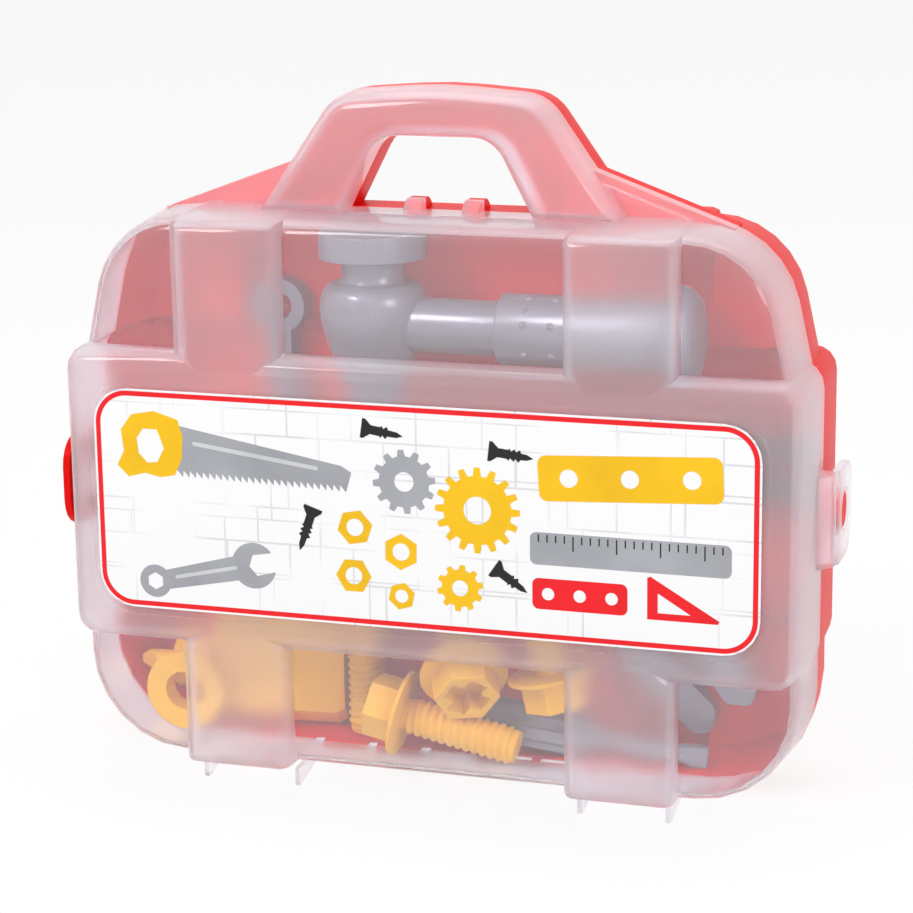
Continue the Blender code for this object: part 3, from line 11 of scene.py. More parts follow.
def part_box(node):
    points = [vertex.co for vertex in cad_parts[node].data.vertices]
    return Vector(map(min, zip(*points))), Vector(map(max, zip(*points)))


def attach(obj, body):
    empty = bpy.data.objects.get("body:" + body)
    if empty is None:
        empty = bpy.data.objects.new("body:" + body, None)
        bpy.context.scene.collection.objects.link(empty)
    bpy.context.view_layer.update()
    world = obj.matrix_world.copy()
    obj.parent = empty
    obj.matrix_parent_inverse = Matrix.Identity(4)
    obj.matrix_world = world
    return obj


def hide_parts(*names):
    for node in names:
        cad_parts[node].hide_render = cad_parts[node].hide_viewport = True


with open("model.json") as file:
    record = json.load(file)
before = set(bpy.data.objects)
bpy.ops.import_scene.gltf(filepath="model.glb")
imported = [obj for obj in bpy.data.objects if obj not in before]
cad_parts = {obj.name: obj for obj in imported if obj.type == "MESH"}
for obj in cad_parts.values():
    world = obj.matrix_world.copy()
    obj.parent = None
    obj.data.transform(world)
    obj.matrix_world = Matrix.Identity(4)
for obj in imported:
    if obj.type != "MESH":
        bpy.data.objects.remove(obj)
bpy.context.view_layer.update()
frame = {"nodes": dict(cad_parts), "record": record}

# Camera, solved from the label's edges and the case's outline
FOCAL_PIXELS = 2833.156
FRAME_PIXELS = 913
SENSOR_WIDTH = 36.0
CAMERA_YAW = math.radians(17.775)
CAMERA_PITCH = math.radians(14.089)
CAMERA_ROLL = math.radians(0.748)
CAMERA_PLACE = Vector((0.39447, -1.22099, 0.47456))
CAMERA_REACH = 50.0

# Floor and lamps
FLOOR_SIZE = 12.0
FLOOR_CLARITY = 0.82
FLOOR_GREY = (0.90, 0.90, 0.90, 1.0)
WHITE = (1.0, 1.0, 1.0, 1.0)
WORLD_STRENGTH = 0.74
LAMP_SHARE = 0.86
LAMP_TARGET = (0.0, 0.0, 0.17)

# Name, place, size in metres and power in watts of each lamp
LAMPS = (
    ("key", (-0.9, -1.3, 1.5), (0.5, 0.5), 14.0),
    ("fill", (1.4, -0.9, 0.8), (0.5, 0.5), 6.0),
    ("top", (0.0, 0.3, 1.6), (1.2, 0.8), 8.0),
)

# Frosted front
WINDOW_FRONT_Y = -0.0384
WINDOW_FRONT_FADE = 0.0008
WINDOW_BACK_Y = -0.0265
WINDOW_BACK_FADE = 0.003
WINDOW_FACING = (0.35, 0.80)
EDGE_FACING = (0.55, 0.97)
WINDOW_HAZE = 0.085
FLAT_HAZE = 0.13
EDGE_HAZE = 0.06
HAZY_ROUGHNESS = 0.50
WINDOW_ROUGHNESS = 0.07
FROSTED_IOR = 1.12
FROSTED_TONES = ((0.95, 0.925, 0.975), (0.985, 0.955, 0.995))
FROSTED_DRIFT_SCALE = 9.0
FROSTED_DRIFT = (0.9, 1.1)
FROSTED_SKIN_SCALE = 700.0
COAT_WEIGHT = 0.9
COAT_ROUGHNESS = 0.06
COAT_IOR = 1.4
SHADOW_TINT = (0.97, 0.955, 0.965, 1.0)

# Coloured plastic
PLASTIC_SHINE = 0.2
RED_SHINE = 0.06
RED_ROUGHNESS = 0.36
GREY_ROUGHNESS = 0.28
YELLOW_ROUGHNESS = 0.34
BLACK_ROUGHNESS = 0.4
SILVER_METALLIC = 0.25
GREY = (0.295, 0.298, 0.33)
DARK_GREY = (0.25, 0.255, 0.285)
PLASTIC_IOR = 1.49
RED = (0.80, 0.005, 0.004)
DARK_RED = (0.74, 0.004, 0.003)
ORANGE = (0.95, 0.53, 0.014)
DARK_ORANGE = (0.91, 0.46, 0.011)
YELLOW = (0.90, 0.50, 0.010)
DARK_YELLOW = (0.86, 0.45, 0.008)
BLACK = (0.03, 0.03, 0.032)
DARK_BLACK = (0.02, 0.02, 0.022)
DRIFT_SCALE = 14.0
WEAR_SCALE = 60.0
WEAR_GLOSS = (0.94, 1.08)
SKIN_SCALE = 1400.0
SKIN_STRENGTH = 0.012
SKIN_DEPTH = 0.0002

# Hammer
HAMMER_DISC = 0.0120
DISC_RADIUS = 0.0250
DISC_FACE_RADIUS = 0.006
DISC_SIDES = 360
RIB_DEPTH = 0.0002
RIB_SIDES = 3
RIB_REACH = 0.0001
HAMMER_NECK_RADIUS = 0.0145
HAMMER_NECK_LENGTH = 0.0120
NECK_FILLET = 0.0018
BARREL_RADIUS = 0.0250
BARREL_LENGTH = 0.0460
BARREL_SHARES = ((0.78, 0.0), (0.94, 0.08), (1.0, 0.26), (0.94, 0.5), (0.72, 0.85))
PEEN_RADIUS = 0.0150
PEEN_TIP_RADIUS = 0.0110
HANDLE_START = 0.0043
SHAFT_RADIUS = 0.0130
COLLAR_LENGTH = 0.0008
COLLAR_RISE = 0.0003
GRIP_RADIUS = 0.0170
GRIP_LENGTH = 0.0780
GRIP_LIP = 0.0014
LIP_CORNER = (0.0005, 0.0004)
HANDLE_END_RADIUS = 0.0235
HANDLE_END_LENGTH = 0.0165
HANDLE_SIDES = 72
HANDLE_END_SHARES = ((1.0, 0.3), (1.0, 0.6), (0.8, 0.9), (0.5, 1.0))
STUD_ROWS = 5
STUD_COLUMNS = 7
STUD_START = 0.0142
STUD_PITCH = 0.0130
STUD_RADIUS = 0.0020
STUD_SUNK = 0.45
STUD_TURN = -0.12

# Bodies that added pieces ride on
LOOSE_BODY = "rear_case"
LID_BODY = "front_case"

# Toy bolts
SAME_AXIS = 0.9995
RIM_SHARE = 0.97
CORNER_SHARE = 0.985
HEAD_MARGIN = 0.001
FLANGE_RADIUS = 0.0210
FLANGE_SIDES = 72
HEX_FLATS = 0.0270
HEX_CORNERS = HEX_FLATS / 2 / math.cos(math.pi / 6)
RECESS_REACH = 0.0104
RECESS_ARM = 0.0047
RECESS_MARGIN = 0.0012
RECESS_FLOOR = 0.0030
THREAD_PITCH = 0.0041
THREAD_ROOT = 0.0077
THREAD_CREST = 0.0091
THREAD_SIDES = 40
THREAD_STEPS = 10
THREAD_START = 0.0016
THREAD_STOP = 0.0008
EDGE_ROUND = 0.0005
RIM_ROUND = EDGE_ROUND * 1.6

# Label and its print
MILLIMETRE = 0.001
LABEL_RADIUS = 0.0170
FRAME_INSET = 0.0009
FRAME_WIDTH = 0.0024
PLAN_GRIDS = ((0.031, 0.017, 0.0005), (0.047, 0.026, 0.0004))
PRINT_RED = (0.80, 0.014, 0.020)
PRINT_GREY = (0.36, 0.37, 0.40)
PRINT_PALE = (0.60, 0.61, 0.64)
PRINT_YELLOW = (0.90, 0.50, 0.010)
PRINT_BLACK = (0.02, 0.02, 0.022)
PRINT_LAYER = 0.00004
LABEL_WHITE = (0.86, 0.86, 0.87)
PLAN_LINE_GREY = (0.66, 0.67, 0.69)
PLAN_PATCH_SCALE = 22.0
PLAN_FADE = (0.42, 0.60)
LINE_BLUR = 0.0002
PRINT_SHADE_SCALE = 30.0
PRINT_SHADES = (0.78, 1.2)
PRINT_SKIN_SCALE = 500.0
PRINT_SKIN_STRENGTH = 0.03
PRINT_ROUGHNESS = (0.22, 0.30)

# Smooth shading
SMOOTH_ANGLE = math.radians(34)
WELD_DISTANCE = 0.00002


def add_camera():
    forward = Vector((
        -math.sin(CAMERA_YAW) * math.cos(CAMERA_PITCH),
        math.cos(CAMERA_YAW) * math.cos(CAMERA_PITCH),
        -math.sin(CAMERA_PITCH),
    ))
    level_right = Vector((math.cos(CAMERA_YAW), math.sin(CAMERA_YAW), 0.0))
    level_down = forward.cross(level_right)
    right = math.cos(CAMERA_ROLL) * level_right + math.sin(CAMERA_ROLL) * level_down
    down = math.cos(CAMERA_ROLL) * level_down - math.sin(CAMERA_ROLL) * level_right
    data = bpy.data.cameras.new("camera")
    data.sensor_width = SENSOR_WIDTH
    data.lens = SENSOR_WIDTH * FOCAL_PIXELS / FRAME_PIXELS
    data.clip_end = CAMERA_REACH
    camera = bpy.data.objects.new("camera", data)
    turn = Matrix((right, -down, -forward)).transposed()
    camera.matrix_world = Matrix.Translation(CAMERA_PLACE) @ turn.to_4x4()
    bpy.context.scene.collection.objects.link(camera)
    bpy.context.scene.camera = camera


class Tree:
    """Short way to build a node tree."""

    def __init__(self, tree):
        self.tree = tree

    def add(self, kind, **values):
        node = self.tree.nodes.new(kind)
        for name, value in values.items():
            if hasattr(node, name):
                setattr(node, name, value)
        return node

    def link(self, source, target):
        self.tree.links.new(source, target)

    def set(self, node, **values):
        for name, value in values.items():
            key = name.replace("_", " ")
            if isinstance(value, bpy.types.NodeSocket):
                self.link(value, node.inputs[key])
            else:
                node.inputs[key].default_value = value
        return node


class Nodes(Tree):
    """A new material and its node tree."""

    def __init__(self, name):
        self.material = bpy.data.materials.new(name)
        self.material.use_nodes = True
        super().__init__(self.material.node_tree)
        self.tree.nodes.clear()
        self.output = self.add("ShaderNodeOutputMaterial")


def noise(nodes, scale, detail, vector):
    node = nodes.add("ShaderNodeTexNoise")
    node.inputs["Scale"].default_value = scale
    node.inputs["Detail"].default_value = detail
    nodes.link(vector, node.inputs["Vector"])
    return node.outputs["Fac"]


def spread(nodes, value, low, high):
    """Maps a 0 to 1 value onto a range."""
    node = nodes.add("ShaderNodeMapRange")
    nodes.link(value, node.inputs["Value"])
    node.inputs["To Min"].default_value = low
    node.inputs["To Max"].default_value = high
    return node.outputs["Result"]


def blend_colour(nodes, factor, first, second):
    node = nodes.add("ShaderNodeMix", data_type="RGBA")
    nodes.link(factor, node.inputs["Factor"])
    node.inputs["A"].default_value = (*first, 1.0)
    node.inputs["B"].default_value = (*second, 1.0)
    return node.outputs["Result"]


def bump(nodes, height, strength, distance):
    node = nodes.add("ShaderNodeBump")
    node.inputs["Strength"].default_value = strength
    node.inputs["Distance"].default_value = distance
    nodes.link(height, node.inputs["Height"])
    return node.outputs["Normal"]


def place(nodes):
    return nodes.add("ShaderNodeTexCoord").outputs["Object"]


def maths(nodes, operation, *values):
    node = nodes.add("ShaderNodeMath", operation=operation)
    for index, value in enumerate(values):
        if isinstance(value, bpy.types.NodeSocket):
            nodes.link(value, node.inputs[index])
        else:
            node.inputs[index].default_value = value
    return node.outputs["Value"]


def ramp(nodes, value, start, end, low=0.0, high=1.0):
    """Carries a value from one range to another and holds it there."""
    node = nodes.add("ShaderNodeMapRange")
    nodes.link(value, node.inputs["Value"])
    node.inputs["From Min"].default_value = start
    node.inputs["From Max"].default_value = end
    node.inputs["To Min"].default_value = low
    node.inputs["To Max"].default_value = high
    return node.outputs["Result"]


def split(nodes, vector):
    node = nodes.add("ShaderNodeSeparateXYZ")
    nodes.link(vector, node.inputs["Vector"])
    return node.outputs["X"], node.outputs["Y"], node.outputs["Z"]


def plastic(name, colour, darker, roughness, metallic=0.0, shine=PLASTIC_SHINE):
    """Moulded plastic with a faint tone drift, a fine skin and uneven gloss."""
    nodes = Nodes(name)
    where = place(nodes)
    drift = noise(nodes, DRIFT_SCALE, 3.0, where)
    skin = noise(nodes, SKIN_SCALE, 2.0, where)
    wear = noise(nodes, WEAR_SCALE, 4.0, where)
    shader = nodes.add("ShaderNodeBsdfPrincipled")
    nodes.set(
        shader,
        Base_Color=blend_colour(nodes, drift, darker, colour),
        Roughness=spread(nodes, wear, *(roughness * share for share in WEAR_GLOSS)),
        Normal=bump(nodes, skin, SKIN_STRENGTH, SKIN_DEPTH),
    )
    shader.inputs["IOR"].default_value = PLASTIC_IOR
    shader.inputs["Metallic"].default_value = metallic
    shader.inputs["Specular IOR Level"].default_value = shine
    nodes.link(shader.outputs["BSDF"], nodes.output.inputs["Surface"])
    return nodes.material


def frosted():
    """Frosted clear plastic: clear in the windows and their rounded edges, hazy elsewhere."""
    nodes = Nodes("frosted clear plastic")
    where = place(nodes)
    depth = split(nodes, where)[1]
    forward = split(nodes, nodes.add("ShaderNodeTexCoord").outputs["Normal"])[1]
    facing = maths(nodes, "ABSOLUTE", forward)
    before = ramp(nodes, depth, WINDOW_FRONT_Y - WINDOW_FRONT_FADE, WINDOW_FRONT_Y)
    behind = ramp(nodes, depth, WINDOW_BACK_Y, WINDOW_BACK_Y + WINDOW_BACK_FADE, 1.0, 0.0)
    zone = maths(nodes, "MULTIPLY", before, behind)
    window = maths(nodes, "MULTIPLY", zone, ramp(nodes, facing, *WINDOW_FACING))
    edge = ramp(nodes, facing, *EDGE_FACING, 1.0, 0.0)
    drift = noise(nodes, FROSTED_DRIFT_SCALE, 3.0, where)
    haze = spread(nodes, window, FLAT_HAZE, WINDOW_HAZE)
    haze = maths(nodes, "ADD", haze, maths(nodes, "MULTIPLY", edge, EDGE_HAZE))
    haze = maths(nodes, "MULTIPLY", haze, spread(nodes, drift, *FROSTED_DRIFT))
    clarity = maths(nodes, "SUBTRACT", 1.0, haze)
    shader = nodes.add("ShaderNodeBsdfPrincipled")
    skin = noise(nodes, FROSTED_SKIN_SCALE, 2.0, where)
    nodes.set(
        shader,
        Base_Color=blend_colour(nodes, drift, *FROSTED_TONES),
        Transmission_Weight=clarity,
        Roughness=spread(nodes, window, HAZY_ROUGHNESS, WINDOW_ROUGHNESS),
        Normal=bump(nodes, skin, SKIN_STRENGTH, SKIN_DEPTH),
    )
    shader.inputs["IOR"].default_value = FROSTED_IOR
    shader.inputs["Coat Weight"].default_value = COAT_WEIGHT
    shader.inputs["Coat Roughness"].default_value = COAT_ROUGHNESS
    shader.inputs["Coat IOR"].default_value = COAT_IOR
    clear = nodes.add("ShaderNodeBsdfTransparent")
    clear.inputs["Color"].default_value = SHADOW_TINT
    ray = nodes.add("ShaderNodeLightPath")
    mix = nodes.add("ShaderNodeMixShader")
    nodes.link(ray.outputs["Is Shadow Ray"], mix.inputs["Fac"])
    nodes.link(shader.outputs["BSDF"], mix.inputs[1])
    nodes.link(clear.outputs["BSDF"], mix.inputs[2])
    nodes.link(mix.outputs["Shader"], nodes.output.inputs["Surface"])
    return nodes.material


def label_print():
    """White printed ground with a red frame and faint grey plan lines."""
    nodes = Nodes("label print")
    where = place(nodes)
    x, _, z = split(nodes, where)
    low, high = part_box("label")
    half_x, half_z = (high[0] - low[0]) / 2, (high[2] - low[2]) / 2
    middle = (high[2] + low[2]) / 2
    side = maths(nodes, "SUBTRACT", maths(nodes, "ABSOLUTE", x), half_x - LABEL_RADIUS)
    rise = maths(nodes, "ABSOLUTE", maths(nodes, "SUBTRACT", z, middle))
    rise = maths(nodes, "SUBTRACT", rise, half_z - LABEL_RADIUS)
    outer_x = maths(nodes, "POWER", maths(nodes, "MAXIMUM", side, 0.0), 2.0)
    outer_z = maths(nodes, "POWER", maths(nodes, "MAXIMUM", rise, 0.0), 2.0)
    corner = maths(nodes, "SQRT", maths(nodes, "ADD", outer_x, outer_z))
    inner = maths(nodes, "MINIMUM", maths(nodes, "MAXIMUM", side, rise), 0.0)
    inset = maths(nodes, "SUBTRACT", LABEL_RADIUS, maths(nodes, "ADD", corner, inner))
    frame_start = ramp(nodes, inset, FRAME_INSET, FRAME_INSET + LINE_BLUR)
    inner_edge = FRAME_INSET + FRAME_WIDTH
    frame_end = ramp(nodes, inset, inner_edge, inner_edge + LINE_BLUR, 1.0, 0.0)
    frame_mask = maths(nodes, "MULTIPLY", frame_start, frame_end)
    lines = None
    for width, height, line in PLAN_GRIDS:
        brick = nodes.add("ShaderNodeTexBrick")
        upright = nodes.add("ShaderNodeMapping")
        upright.inputs["Rotation"].default_value = (math.pi / 2, 0.0, 0.0)
        nodes.link(where, upright.inputs["Vector"])
        nodes.link(upright.outputs["Vector"], brick.inputs["Vector"])
        brick.inputs["Scale"].default_value = 1.0
        brick.inputs["Brick Width"].default_value = width
        brick.inputs["Row Height"].default_value = height
        brick.inputs["Mortar Size"].default_value = line
        fac = brick.outputs["Fac"]
        lines = fac if lines is None else maths(nodes, "MAXIMUM", lines, fac)
    patches = ramp(nodes, noise(nodes, PLAN_PATCH_SCALE, 1.0, where), *PLAN_FADE)
    faint = maths(nodes, "MULTIPLY", lines, patches)
    ground = blend_colour(nodes, faint, LABEL_WHITE, PLAN_LINE_GREY)
    colour = nodes.add("ShaderNodeMix", data_type="RGBA")
    nodes.link(frame_mask, colour.inputs["Factor"])
    nodes.link(ground, colour.inputs["A"])
    colour.inputs["B"].default_value = (*PRINT_RED, 1.0)
    shader = nodes.add("ShaderNodeBsdfPrincipled")
    skin = noise(nodes, PRINT_SKIN_SCALE, 2.0, where)
    nodes.set(
        shader,
        Base_Color=colour.outputs["Result"],
        Roughness=spread(nodes, skin, *PRINT_ROUGHNESS),
        Normal=bump(nodes, skin, PRINT_SKIN_STRENGTH, SKIN_DEPTH),
    )
    shader.inputs["Specular IOR Level"].default_value = PLASTIC_SHINE
    nodes.link(shader.outputs["BSDF"], nodes.output.inputs["Surface"])
    return nodes.material


def new_piece(name, mesh, body, material):
    piece = bpy.data.objects.new(name, mesh)
    bpy.context.scene.collection.objects.link(piece)
    mesh.materials.clear()
    mesh.materials.append(material)
    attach(piece, body)
    return piece


def shade_smooth(item):
    modifier = item.modifiers.new("smooth", "NODES")
    modifier.node_group = bpy.data.node_groups["smooth_by_angle"]


def replace_node(node, name, shape, material):
    """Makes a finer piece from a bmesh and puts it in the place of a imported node."""
    for face in shape.faces:
        face.smooth = True
    mesh = bpy.data.meshes.new(name)
    shape.to_mesh(mesh)
    shape.free()
    piece = new_piece(name, mesh, LOOSE_BODY, material)
    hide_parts(node)
    shade_smooth(piece)


def plate(loops, thickness, round_edge):
    """Mesh of a flat plate from closed loops of (x, y) points. Inner loops are holes."""
    curve = bpy.data.curves.new("outline", "CURVE")
    curve.dimensions = "2D"
    curve.fill_mode = "BOTH"
    curve.extrude = thickness / 2 - round_edge
    curve.bevel_depth = round_edge
    curve.bevel_resolution = 2 if round_edge else 0
    curve.offset = -round_edge
    for loop in loops:
        spline = curve.splines.new("POLY")
        spline.points.add(len(loop) - 1)
        for point, (x, y) in zip(spline.points, loop):
            point.co = (x, y, 0.0, 1.0)
        spline.use_cyclic_u = True
    holder = bpy.data.objects.new("outline", curve)
    bpy.context.scene.collection.objects.link(holder)
    bpy.context.view_layer.update()
    mesh = bpy.data.meshes.new_from_object(holder)
    bpy.data.objects.remove(holder)
    bpy.data.curves.remove(curve)
    return mesh


def ring(radius, sides, start=0.0, centre=(0.0, 0.0)):
    return [
        (
            centre[0] + radius * math.cos(start + 2 * math.pi * step / sides),
            centre[1] + radius * math.sin(start + 2 * math.pi * step / sides),
        )
        for step in range(sides)
    ]


def add_row(shape, radius, height, sides):
    return [shape.verts.new((x, y, height)) for x, y in ring(radius, sides)]


def join_rows(shape, rows):
    """Faces between rings of vertices, and one over each end."""
    sides = len(rows[0])
    for low, high in zip(rows, rows[1:]):
        for step in range(sides):
            ahead = (step + 1) % sides
            shape.faces.new((low[step], low[ahead], high[ahead], high[step]))
    shape.faces.new(list(reversed(rows[0])))
    shape.faces.new(rows[-1])


def lathe(profile, sides):
    """Mesh turned from (radius, height) points about the Z axis."""
    shape = bmesh.new()
    join_rows(shape, [add_row(shape, radius, height, sides) for radius, height in profile])
    return shape


def threaded_shank(length):
    """Shank along Z from 0 to length with one rounded helical ridge."""
    shape = bmesh.new()
    rise = THREAD_PITCH / THREAD_STEPS
    count = int(round(length / rise))
    rows = []
    for level in range(count + 1):
        height = length * level / count
        inward = min(height - THREAD_START, length - THREAD_STOP - height)
        ends = min(1.0, max(0.0, inward / (THREAD_PITCH * 0.5)))
        row = []
        for step in range(THREAD_SIDES):
            turn = step / THREAD_SIDES
            phase = (height / THREAD_PITCH - turn) % 1.0
            wave = 0.5 - 0.5 * math.cos(2 * math.pi * phase)
            radius = THREAD_ROOT + (THREAD_CREST - THREAD_ROOT) * ends * wave ** 0.8
            angle = 2 * math.pi * turn
            x, y = radius * math.cos(angle), radius * math.sin(angle)
            row.append(shape.verts.new((x, y, height)))
        rows.append(row)
    end = length + EDGE_ROUND * 0.5
    rows.append(add_row(shape, THREAD_ROOT - EDGE_ROUND, end, THREAD_SIDES))
    join_rows(shape, rows)
    return shape


def bolt_measures(item):
    """Axis, middle, head corner angle and heights of a packed bolt, read from its mesh."""
    mesh = item.data
    groups = []
    for face in mesh.polygons:
        normal = face.normal.copy()
        for group in groups:
            if abs(group["axis"].dot(normal)) > SAME_AXIS:
                group["area"] += face.area
                group["sum"] += face.center * face.area
                break
        else:
            groups.append({"axis": normal, "area": face.area, "sum": face.center * face.area})
    best = max(groups, key=lambda group: group["area"])
    axis = best["axis"].normalized()
    middle = best["sum"] / best["area"]
    heights = [(vertex.co - middle).dot(axis) for vertex in mesh.vertices]
    spreads = [
        ((vertex.co - middle) - axis * height).length
        for vertex, height in zip(mesh.vertices, heights)
    ]
    rim = [height for height, wide in zip(heights, spreads) if wide > FLANGE_RADIUS * RIM_SHARE]
    flange = (min(rim) + max(rim)) / 2
    if max(heights) - flange < flange - min(heights):
        axis = -axis
        heights = [-height for height in heights]
        rim = [-height for height in rim]
    side = axis.orthogonal().normalized()
    other = axis.cross(side)
    angles = []
    for vertex, height, wide in zip(mesh.vertices, heights, spreads):
        if height < min(rim) - HEAD_MARGIN and wide > HEX_CORNERS * CORNER_SHARE:
            reach = vertex.co - middle
            angles.append(math.atan2(reach.dot(other), reach.dot(side)))
    turn = cmath.phase(sum(cmath.exp(6j * angle) for angle in angles)) / 6 if angles else 0.0
    return {
        "frame": Matrix((side, other, axis)).transposed().to_4x4(),
        "middle": middle, "turn": turn,
        "head": min(heights), "under": max(rim), "over": min(rim), "end": max(heights),
    }


def make_bolt(name, material):
    """Hexagon bolt with a flange, a cross recess in its head and a rounded toy thread."""
    facts = bolt_measures(frame["nodes"][name])
    shape = bmesh.new()

    head_height = facts["over"] - facts["head"]
    hexagon = ring(HEX_CORNERS, 6, facts["turn"])
    arm, reach = RECESS_ARM, RECESS_REACH
    corner = [(reach, -arm), (reach, arm), (arm, arm)]
    cross = []
    for quarter in range(4):
        cross += turned(corner, quarter * math.pi / 2 + facts["turn"])
    head = plate([hexagon, cross], head_height + EDGE_ROUND, EDGE_ROUND)
    head.transform(Matrix.Translation((0.0, 0.0, facts["head"] + (head_height + EDGE_ROUND) / 2)))
    shape.from_mesh(head)
    floor = plate([ring(RECESS_REACH + RECESS_MARGIN, 24)], RECESS_FLOOR, 0.0)
    floor.transform(Matrix.Translation((0.0, 0.0, facts["over"] - RECESS_FLOOR / 2)))
    shape.from_mesh(floor)

    low, high, bevel, chamfer = facts["over"], facts["under"], EDGE_ROUND, EDGE_ROUND * 0.3
    disc = lathe((
        (FLANGE_RADIUS - bevel, low), (FLANGE_RADIUS - chamfer, low + chamfer),
        (FLANGE_RADIUS, low + bevel), (FLANGE_RADIUS, high - bevel),
        (FLANGE_RADIUS - chamfer, high - chamfer), (FLANGE_RADIUS - bevel, high),
    ), FLANGE_SIDES)
    shank = threaded_shank(facts["end"] - facts["under"] - EDGE_ROUND)
    bmesh.ops.translate(shank, verts=shank.verts, vec=(0.0, 0.0, facts["under"]))
    for piece in (disc, shank):
        mesh = bpy.data.meshes.new("bolt_piece")
        piece.to_mesh(mesh)
        piece.free()
        shape.from_mesh(mesh)
        bpy.data.meshes.remove(mesh)
    bpy.data.meshes.remove(head)
    bpy.data.meshes.remove(floor)

    shape.transform(Matrix.Translation(facts["middle"]) @ facts["frame"])
    replace_node(name, f"{name}_threaded", shape, material)


def smooth_profile(points, steps):
    """Catmull-Rom curve through (radius, height) points."""
    curve = []
    padded = [points[0], *points, points[-1]]
    for index in range(1, len(padded) - 2):
        before, start, end, after = padded[index - 1:index + 3]
        for step in range(steps):
            t = step / steps
            curve.append(tuple(
                0.5 * (2 * b + (c - a) * t + (2 * a - 5 * b + 4 * c - d) * t * t
                       + (3 * b - a - 3 * c + d) * t ** 3)
                for a, b, c, d in zip(before, start, end, after)
            ))
    curve.append(points[-1])
    return curve


def rounded_rim(radius, height, toward):
    """Four points of a small rounded edge, leading towards the end of a disc."""
    points = []
    for degrees in (0, 30, 60, 90):
        turn = math.radians(degrees)
        inward = RIM_ROUND * (1 - math.cos(turn))
        back = RIM_ROUND * (1 - math.sin(turn))
        points.append((radius - inward, height - toward * back))
    return points


def finish_hammer_part(name, shape, material):
    bmesh.ops.recalc_face_normals(shape, faces=shape.faces)
    replace_node(name, f"{name}_finished", shape, material)


def make_hammer_head(material):
    """Striking disc with a ribbed rim, neck, barrel and peen, turned about an upright axis."""
    low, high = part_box("hammer_head")
    centre_x, centre_y, top = (low[0] + high[0]) / 2, (low[1] + high[1]) / 2, high[2]
    length = high[2] - low[2]
    barrel_top = HAMMER_DISC + HAMMER_NECK_LENGTH
    barrel = [
        (BARREL_RADIUS * wide, -barrel_top - BARREL_LENGTH * along)
        for wide, along in BARREL_SHARES
    ]
    barrel.append((PEEN_RADIUS, -barrel_top - BARREL_LENGTH))
    profile = [(DISC_FACE_RADIUS, 0.0)] + list(reversed(rounded_rim(DISC_RADIUS, 0.0, 1)))
    profile += rounded_rim(DISC_RADIUS, -HAMMER_DISC, -1)
    neck, fillet = HAMMER_NECK_RADIUS, NECK_FILLET
    profile += [
        (neck + fillet, -HAMMER_DISC), (neck + fillet * 0.3, -HAMMER_DISC - fillet * 0.3),
        (neck, -HAMMER_DISC - fillet), (neck, -barrel_top + fillet),
        (neck + fillet * 0.4, -barrel_top + fillet * 0.3), (neck + fillet, -barrel_top),
    ]
    profile += smooth_profile(barrel, 6)
    profile += rounded_rim(PEEN_TIP_RADIUS, -length, -1)
    shape = lathe([(radius, top + drop) for radius, drop in profile], DISC_SIDES)
    reach = DISC_RADIUS - RIB_REACH
    for vertex in shape.verts:
        wide = math.hypot(vertex.co.x, vertex.co.y)
        if wide > reach:
            turn = math.atan2(vertex.co.y, vertex.co.x) * DISC_SIDES / (2 * math.pi)
            if round(turn) % RIB_SIDES == 0:
                vertex.co.x *= 1 - RIB_DEPTH / wide
                vertex.co.y *= 1 - RIB_DEPTH / wide
    bmesh.ops.translate(shape, verts=shape.verts, vec=(centre_x, centre_y, 0.0))
    finish_hammer_part("hammer_head", shape, material)


def make_hammer_handle(material):
    """Shaft, studded grip and rounded end, turned about a level axis."""
    low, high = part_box("hammer_handle")
    centre_y, centre_z, end = (low[1] + high[1]) / 2, (low[2] + high[2]) / 2, high[0]
    grip_end = end - HANDLE_END_LENGTH
    grip_start = grip_end - GRIP_LENGTH
    knob = [(GRIP_RADIUS, grip_end)]
    knob += [
        (HANDLE_END_RADIUS * wide, grip_end + HANDLE_END_LENGTH * along)
        for wide, along in HANDLE_END_SHARES
    ]
    profile = [
        (SHAFT_RADIUS, low[0] + HANDLE_START), (SHAFT_RADIUS, grip_start - COLLAR_LENGTH),
        (SHAFT_RADIUS + COLLAR_RISE, grip_start), (GRIP_RADIUS - GRIP_LIP, grip_start),
        (GRIP_RADIUS - LIP_CORNER[0], grip_start + LIP_CORNER[1]),
        (GRIP_RADIUS, grip_start + GRIP_LIP),
    ]
    profile += smooth_profile(knob, 5)
    shape = lathe(profile, HANDLE_SIDES)
    for row in range(STUD_ROWS):
        for column in range(STUD_COLUMNS):
            along = grip_start + STUD_START + row * STUD_PITCH
            turn = 2 * math.pi * (column + STUD_TURN) / STUD_COLUMNS
            stud = bmesh.ops.create_uvsphere(
                shape, u_segments=14, v_segments=8, radius=STUD_RADIUS
            )["verts"]
            reach = GRIP_RADIUS - STUD_RADIUS * STUD_SUNK
            place_at = (reach * math.cos(turn), reach * math.sin(turn), along)
            bmesh.ops.translate(shape, verts=stud, vec=place_at)
    level = Matrix.Rotation(math.pi / 2, 4, "Y")
    shape.transform(Matrix.Translation((0.0, centre_y, centre_z)) @ level)
    finish_hammer_part("hammer_handle", shape, material)


def turned(points, angle, x=0.0, y=0.0):
    cosine, sine = math.cos(angle), math.sin(angle)
    return [(x + (u * cosine - v * sine), y + (u * sine + v * cosine)) for u, v in points]


def gear(x, y, radius, teeth, hole, start=0.0):
    points = []
    for tooth in range(teeth):
        middle = start + 2 * math.pi * tooth / teeth
        for share, reach in ((-0.30, 0.80), (-0.17, 1.0), (0.17, 1.0), (0.30, 0.80)):
            angle = middle + share * 2 * math.pi / teeth
            wide = radius * reach
            points.append((x + wide * math.cos(angle), y + wide * math.sin(angle)))
    return [points, ring(hole, 32, centre=(x, y))]


